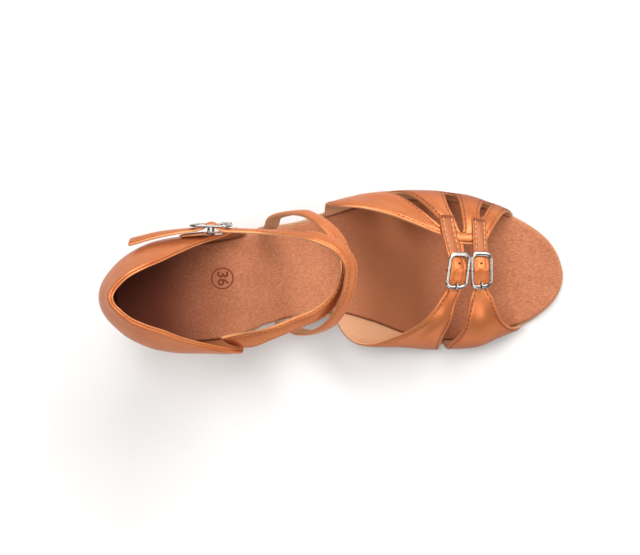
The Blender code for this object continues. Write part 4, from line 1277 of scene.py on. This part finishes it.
def build_yoke_roll():
    """Rolled hem between the tails and the thin bar under it."""
    across = np.linspace(*YOKE_ACROSS, YOKE_POINTS)
    place = last_point(across, YOKE_HEM + ROLL_AHEAD + 0 * across, EDGE_GAP + BAND_WALL + 0.15 * MM)
    up = last_point(0.785, YOKE_HEM, 5 * MM) - last_point(0.785, YOKE_HEM, 0)
    ends = np.sin(np.clip((0.5 - np.abs(np.linspace(-0.5, 0.5, YOKE_POINTS))) * 8, 0, 1) * pi / 2)
    thin, thick = ROLL_RADIUS
    tube("yoke_roll", place, (thin + (thick - thin) * ends) * MM, SATIN, up=up, flat=ROLL_FLAT)
    place = last_point(across, YOKE_HEM + BAR_AHEAD + 0 * across, EDGE_GAP + BAND_WALL * 0.9)
    tube("yoke_bar", place, YOKE_BAR_RADIUS, EDGE_HIGHLIGHT_SATIN, up=up)


def medial_lines(left, right, ways):
    """Stations of a band's two edges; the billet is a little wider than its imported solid."""
    wide = column(BILLET_EXTRA, 1, ways) * MM / BED_LENGTH
    back = column(TAIL_SWING, 1, ways) if left == 1 else 0
    return column(MEDIAL_EDGES, left, ways) - wide - back, column(MEDIAL_EDGES, right, ways) + wide - back


def build_vamp_medial():
    """Two bands from the medial side, narrowing to billets with free tails."""
    ways = np.concatenate([np.linspace(TAIL_START, 1, 200), [1 + TURN_UNDER / 2, 1 + TURN_UNDER]])
    reach = np.minimum(ways, 1)
    grids = []
    for left, right, middle in ((1, 2, 12), (3, 4, 12)):
        start, end = medial_lines(left, right, reach)
        width = (end - start) * BED_LENGTH
        slant = slant_of(last_point(start, ways, 0))
        stations = start[:, None] + lanes(width, slant, middle) / BED_LENGTH
        grid = np.repeat(ways[:, None], stations.shape[1], 1)
        face = (billet_face(reach) - BAND_WALL)[:, None] + 0 * grid
        points, outward = on_last(stations, grid, face)
        # Tails take the painted-shade satin, and their tucked ends a darker one
        look = np.where(ways < TAIL_END, np.where(ways < TAIL_START + TAIL_TUCK, 3, 2), 0)
        grids.append((points, outward, creased(stations, grid, MEDIAL_FOLDS), look, 0))
    looks = [SATIN, LINING, TAIL_SHADE_SATIN, TUCKED_SHADE_SATIN, EDGE_HIGHLIGHT_SATIN]
    cloth("vamp_medial_cover", grids, BAND_WALL, looks, ["vamp_medial"])


def build_strap(name, root, table, count, nodes, hump_at=None):
    route, lift, width = strap_route(root, table, count)
    along, outwards, across = strap_frames(root, route, lift)
    wide = STRAP_WIDTH * width
    spread = lanes(wide, np.ones(count), 6) - wide[:, None] / 2
    points = route[:, None] + across[:, None] * spread[..., None] - outwards[:, None] * STRAP_WALL / 2
    outward = np.broadcast_to(outwards[:, None], points.shape)
    cup = -STRAP_CUP * (2 * spread / wide[:, None]) ** 2
    hump = 0 * wide
    if hump_at:
        passed = np.concatenate([[0], np.cumsum(np.linalg.norm(np.diff(route, axis=0), axis=1))])
        from_bar = passed - passed[-1] * hump_at
        hump = HUMP_HEIGHT * np.exp(-(from_bar / HUMP_HALF) ** 2)
    cup = cup + hump[:, None]
    cloth(name, [(points, outward, cup, 0, 0)], STRAP_WALL, [SATIN, LINING, EDGE_HIGHLIGHT_SATIN], nodes)
    rows = []
    for side in (-1, 1):
        offset = side * (wide / 2 - SEAM_AT)
        sunk = STRAP_CUP * (2 * offset / wide) ** 2 + SEAM_DEPTH / 2
        row = route + across * offset[:, None] + outwards * (STRAP_WALL / 2 - sunk + hump)[:, None]
        rows.append(row[UNSEWN_ROOT:-UNSEWN_END])
    stitches(name.replace("cover", "stitches"), rows, STRAP_THREAD)


# Buckles

def buckle(name, place, length, width, near, far, bar, prong, rails):
    """Frame with flat ends, its centre bar and its prong."""
    end_half, side_half = (r * MM for r in rails)
    half_w = width / 2 - side_half
    half_l = length / 2 - end_half
    ring = []
    for k, (sign_w, sign_l) in enumerate([(1, 1), (-1, 1), (-1, -1), (1, -1)]):
        for step in range(13):
            angle = (k + step / 12) * pi / 2
            ring.append((sign_w * (half_w - FRAME_CORNER) + FRAME_CORNER * cos(angle),
                         sign_l * (half_l - FRAME_CORNER) + FRAME_CORNER * sin(angle), angle))
    mesh = bmesh.new()
    loops = []
    sides = 16
    for across, along, angle in ring:
        half = side_half + (end_half - side_half) * abs(sin(angle)) ** 1.5
        loop = []
        for k in range(sides):
            turn = 2 * pi * k / sides
            flat_x = np.sign(cos(turn)) * abs(cos(turn)) ** 0.75 * half
            flat_z = np.sign(sin(turn)) * abs(sin(turn)) ** 0.75 * FRAME_THICK
            a = across + flat_x * cos(angle)
            b = along + flat_x * sin(angle)
            base = far + (near - far) * (b / half_l + 1) / 2
            loop.append(mesh.verts.new(place(a, b, base + flat_z)))
        loops.append(loop)
    for loop, after in zip(loops, loops[1:] + loops[:1]):
        for k in range(sides):
            mesh.faces.new([loop[k], loop[k - 1], after[k - 1], after[k]])
    bmesh.ops.remove_doubles(mesh, verts=mesh.verts, dist=TOUCH)
    bmesh.ops.recalc_face_normals(mesh, faces=mesh.faces)
    built(name + "_ring", mesh, [NICKEL], [name + "_frame"])
    middle = (near + far) / 2
    path = [(-half_w, middle), (-half_w, bar + BAR_BEND), (BAR_BEND - half_w, bar),
            (half_w - BAR_BEND, bar), (half_w, bar + BAR_BEND), (half_w, middle)]
    up = place(0, MM, middle) - place(0, 0, middle)
    tube(name + "_bar", [place(a, 0, h) for a, h in path], BAR_WIRE, NICKEL, up=up)
    top = near + FRAME_THICK + PRONG_WIRE
    first = BAR_WIRE + GAP + PRONG_WIRE
    route = np.array([(first, bar - BAR_WIRE / 2), (prong - BAR_BEND, bar - GAP), (prong, bar + BAR_BEND),
                      (prong + GAP, top - BAR_BEND), (prong + PRONG_BEND, top), (half_l + PRONG_TIP, top)])
    up = place(MM, 0, middle) - place(0, 0, middle)
    knots = np.arange(len(route))
    fine = np.linspace(0, len(route) - 1, 30)
    reach, heights = (rounded(fine, knots, route[:, k]) for k in (0, 1))
    wire = [place(0, b, h) for b, h in zip(reach, heights)]
    taper = PRONG_WIRE * (1 - 0.3 * np.linspace(0, 1, 30) ** 3)
    tube(name + "_tongue", wire, taper, NICKEL, [name + "_prong"], up=up)


def billet_centre(edges, way):
    return (column(MEDIAL_EDGES, edges[0], way) + column(MEDIAL_EDGES, edges[1], way)) / 2


def build_vamp_buckles():
    for name, edges in (("vamp_buckle_rear", (1, 2)), ("vamp_buckle_front", (3, 4))):
        centre = billet_centre(edges, VAMP_BAR_WAY)
        nudge = 0.01
        ahead = last_point(centre, VAMP_BAR_WAY + nudge, 0)
        behind = last_point(centre, VAMP_BAR_WAY - nudge, 0)
        girth = np.linalg.norm(ahead - behind) / (2 * nudge)

        def place(across, along, height):
            way = VAMP_BAR_WAY + along / girth
            station = billet_centre(edges, way) + across / BED_LENGTH
            return last_point(station, way, height)

        reach = (VAMP_BUCKLE_LENGTH / 2 - WIRE) / girth
        near = billet_face(VAMP_BAR_WAY + reach) + GAP + WIRE
        far = billet_face(VAMP_BAR_WAY - reach) + GAP + WIRE
        bar = billet_face(VAMP_BAR_WAY) - BAND_WALL - GAP - BAR_WIRE
        hole = (BILLET_HOLE[0] + BILLET_HOLE[1]) / 2
        prong = (hole - VAMP_BAR_WAY) * girth
        buckle(name, place, VAMP_BUCKLE_LENGTH, VAMP_FRAME_WIDTH, near, far, bar, prong, VAMP_RAILS)
        spare = (SPARE_HOLE - VAMP_BAR_WAY) * girth
        face = billet_face(SPARE_HOLE) + PILLOW_HEIGHT
        loops = []
        for radius, height in SPARE_DISC:
            turns = 2 * pi * np.arange(20) / 20
            ring = [(radius * MM * cos(t), spare + radius * MM * sin(t)) for t in turns]
            loops.append(np.array([place(a, b, face + height * MM) for a, b in ring]))
        loft(name + "_hole", loops, HOLE, [])


def build_ankle_buckle():
    route, lift, width = strap_route(ANKLE_ROOT, ANKLE_STRAP, ANKLE_STRAP_STEPS)
    along, outwards, across = strap_frames(ANKLE_ROOT, route, lift)
    at = ANKLE_BAR_STEPS
    origin = route[at]

    def place(crosswise, lengthwise, height):
        return origin + across[at] * crosswise - along[at] * lengthwise + outwards[at] * height

    over = STRAP_WALL / 2 + GAP + WIRE
    under = -STRAP_WALL / 2 - GAP - BAR_WIRE
    step = np.linalg.norm(route[at] - route[at - 1])
    buckle("ankle_buckle", place, ANKLE_BUCKLE_LENGTH, ANKLE_BUCKLE_WIDTH, over, over, under,
           1.5 * step, ANKLE_RAILS)
    front = place(0, -BAR_WIRE - GAP - TAB_WALL / 2, under)
    rear = counter_point(LATERAL, TAB_ROOT_AT, TAB_ROOT_HEIGHT, GAP + TAB_WALL / 2)
    line = np.linspace(front, rear, 24)
    wide = np.full(24, TAB_WIDTH)
    spread = lanes(wide, np.ones(24), 4) - TAB_WIDTH / 2
    points = line[:, None] + across[at] * spread[..., None] - outwards[at] * TAB_WALL / 2
    outward = np.broadcast_to(outwards[at], points.shape)
    cloth("buckle_tab", [(points, outward, 0, 0, 0)], TAB_WALL, [SATIN, LINING, EDGE_HIGHLIGHT_SATIN],
          ["ankle_buckle_tab"])


# Stage and camera

CAMERA_TARGET = Vector((82.0, 4.4, 30.0)) * MM
CAMERA_DISTANCE = 1.1
CAMERA_TILT = radians(3)
CAMERA_ROLL = radians(3.1)
LENS = 123.0
SENSOR = 36.0
FLOOR_SIZE = 6
ROOM_LIGHT = 0.22
# Soft boxes: their place in metres and their power in watts
LAMPS = {
    "key": ((0.90, 0.85, 1.20), 13),
    "front": ((1.40, -0.15, 1.05), 8),
    "top": ((-0.25, 0.25, 1.60), 16),
    "side": ((0.45, 1.40, 1.00), 14),
    "fill": ((0.50, -1.15, 1.10), 7),
}
LAMP_SIZE = 0.8
LAMP_COLOUR = (1.0, 0.98, 0.95)


def build_stage():
    bpy.ops.mesh.primitive_plane_add(size=FLOOR_SIZE)
    floor = bpy.context.object
    floor.name = "floor"
    board = finish_of("matt white board", Base_Color=colour("#E2E2E3"), Roughness=0.55)[0]
    floor.data.materials.append(board)
    world = bpy.data.worlds.new("white room")
    world.use_nodes = True
    sky = world.node_tree.nodes["Background"].inputs
    sky["Color"].default_value = colour("#F6F8FB")
    sky["Strength"].default_value = ROOM_LIGHT
    bpy.context.scene.world = world
    for name, (place, power) in LAMPS.items():
        lamp = bpy.data.lights.new(name, "AREA")
        lamp.size = LAMP_SIZE
        lamp.energy = power
        lamp.color = LAMP_COLOUR
        lit = bpy.data.objects.new(name, lamp)
        lit.location = place
        lit.rotation_euler = (CAMERA_TARGET - Vector(place)).to_track_quat("-Z", "Y").to_euler()
        bpy.context.scene.collection.objects.link(lit)


def build_camera():
    back = Vector((sin(CAMERA_TILT), 0, cos(CAMERA_TILT)))
    right = Vector((cos(CAMERA_TILT), 0, -sin(CAMERA_TILT)))
    up = Vector((0, 1, 0))
    turned_right = cos(CAMERA_ROLL) * right - sin(CAMERA_ROLL) * up
    turned_up = sin(CAMERA_ROLL) * right + cos(CAMERA_ROLL) * up
    lens = bpy.data.cameras.new("camera")
    lens.lens = LENS
    lens.sensor_width = SENSOR
    camera = bpy.data.objects.new("camera", lens)
    camera.matrix_world = Matrix((
        (turned_right.x, turned_up.x, back.x, 0),
        (turned_right.y, turned_up.y, back.y, 0),
        (turned_right.z, turned_up.z, back.z, 0),
        (0, 0, 0, 1),
    ))
    camera.location = CAMERA_TARGET + back * CAMERA_DISTANCE
    bpy.context.scene.collection.objects.link(camera)
    bpy.context.scene.camera = camera


build_camera()
build_stage()
build_sole()
build_stamp()
build_counter()
build_vamp_lateral()
build_vamp_medial()
build_vamp_seams()
build_yoke_roll()
build_strap("instep_strap_cover", INSTEP_ROOT, INSTEP_STRAP, INSTEP_STRAP_ROWS, ["instep_strap"])
build_strap("ankle_strap_cover", ANKLE_ROOT, ANKLE_STRAP, ANKLE_STRAP_ROWS, ["ankle_strap"],
            ANKLE_BAR_STEPS / (ANKLE_STRAP_STEPS - 1))
build_vamp_buckles()
build_ankle_buckle()

bpy.context.scene.view_settings.view_transform = "Standard"
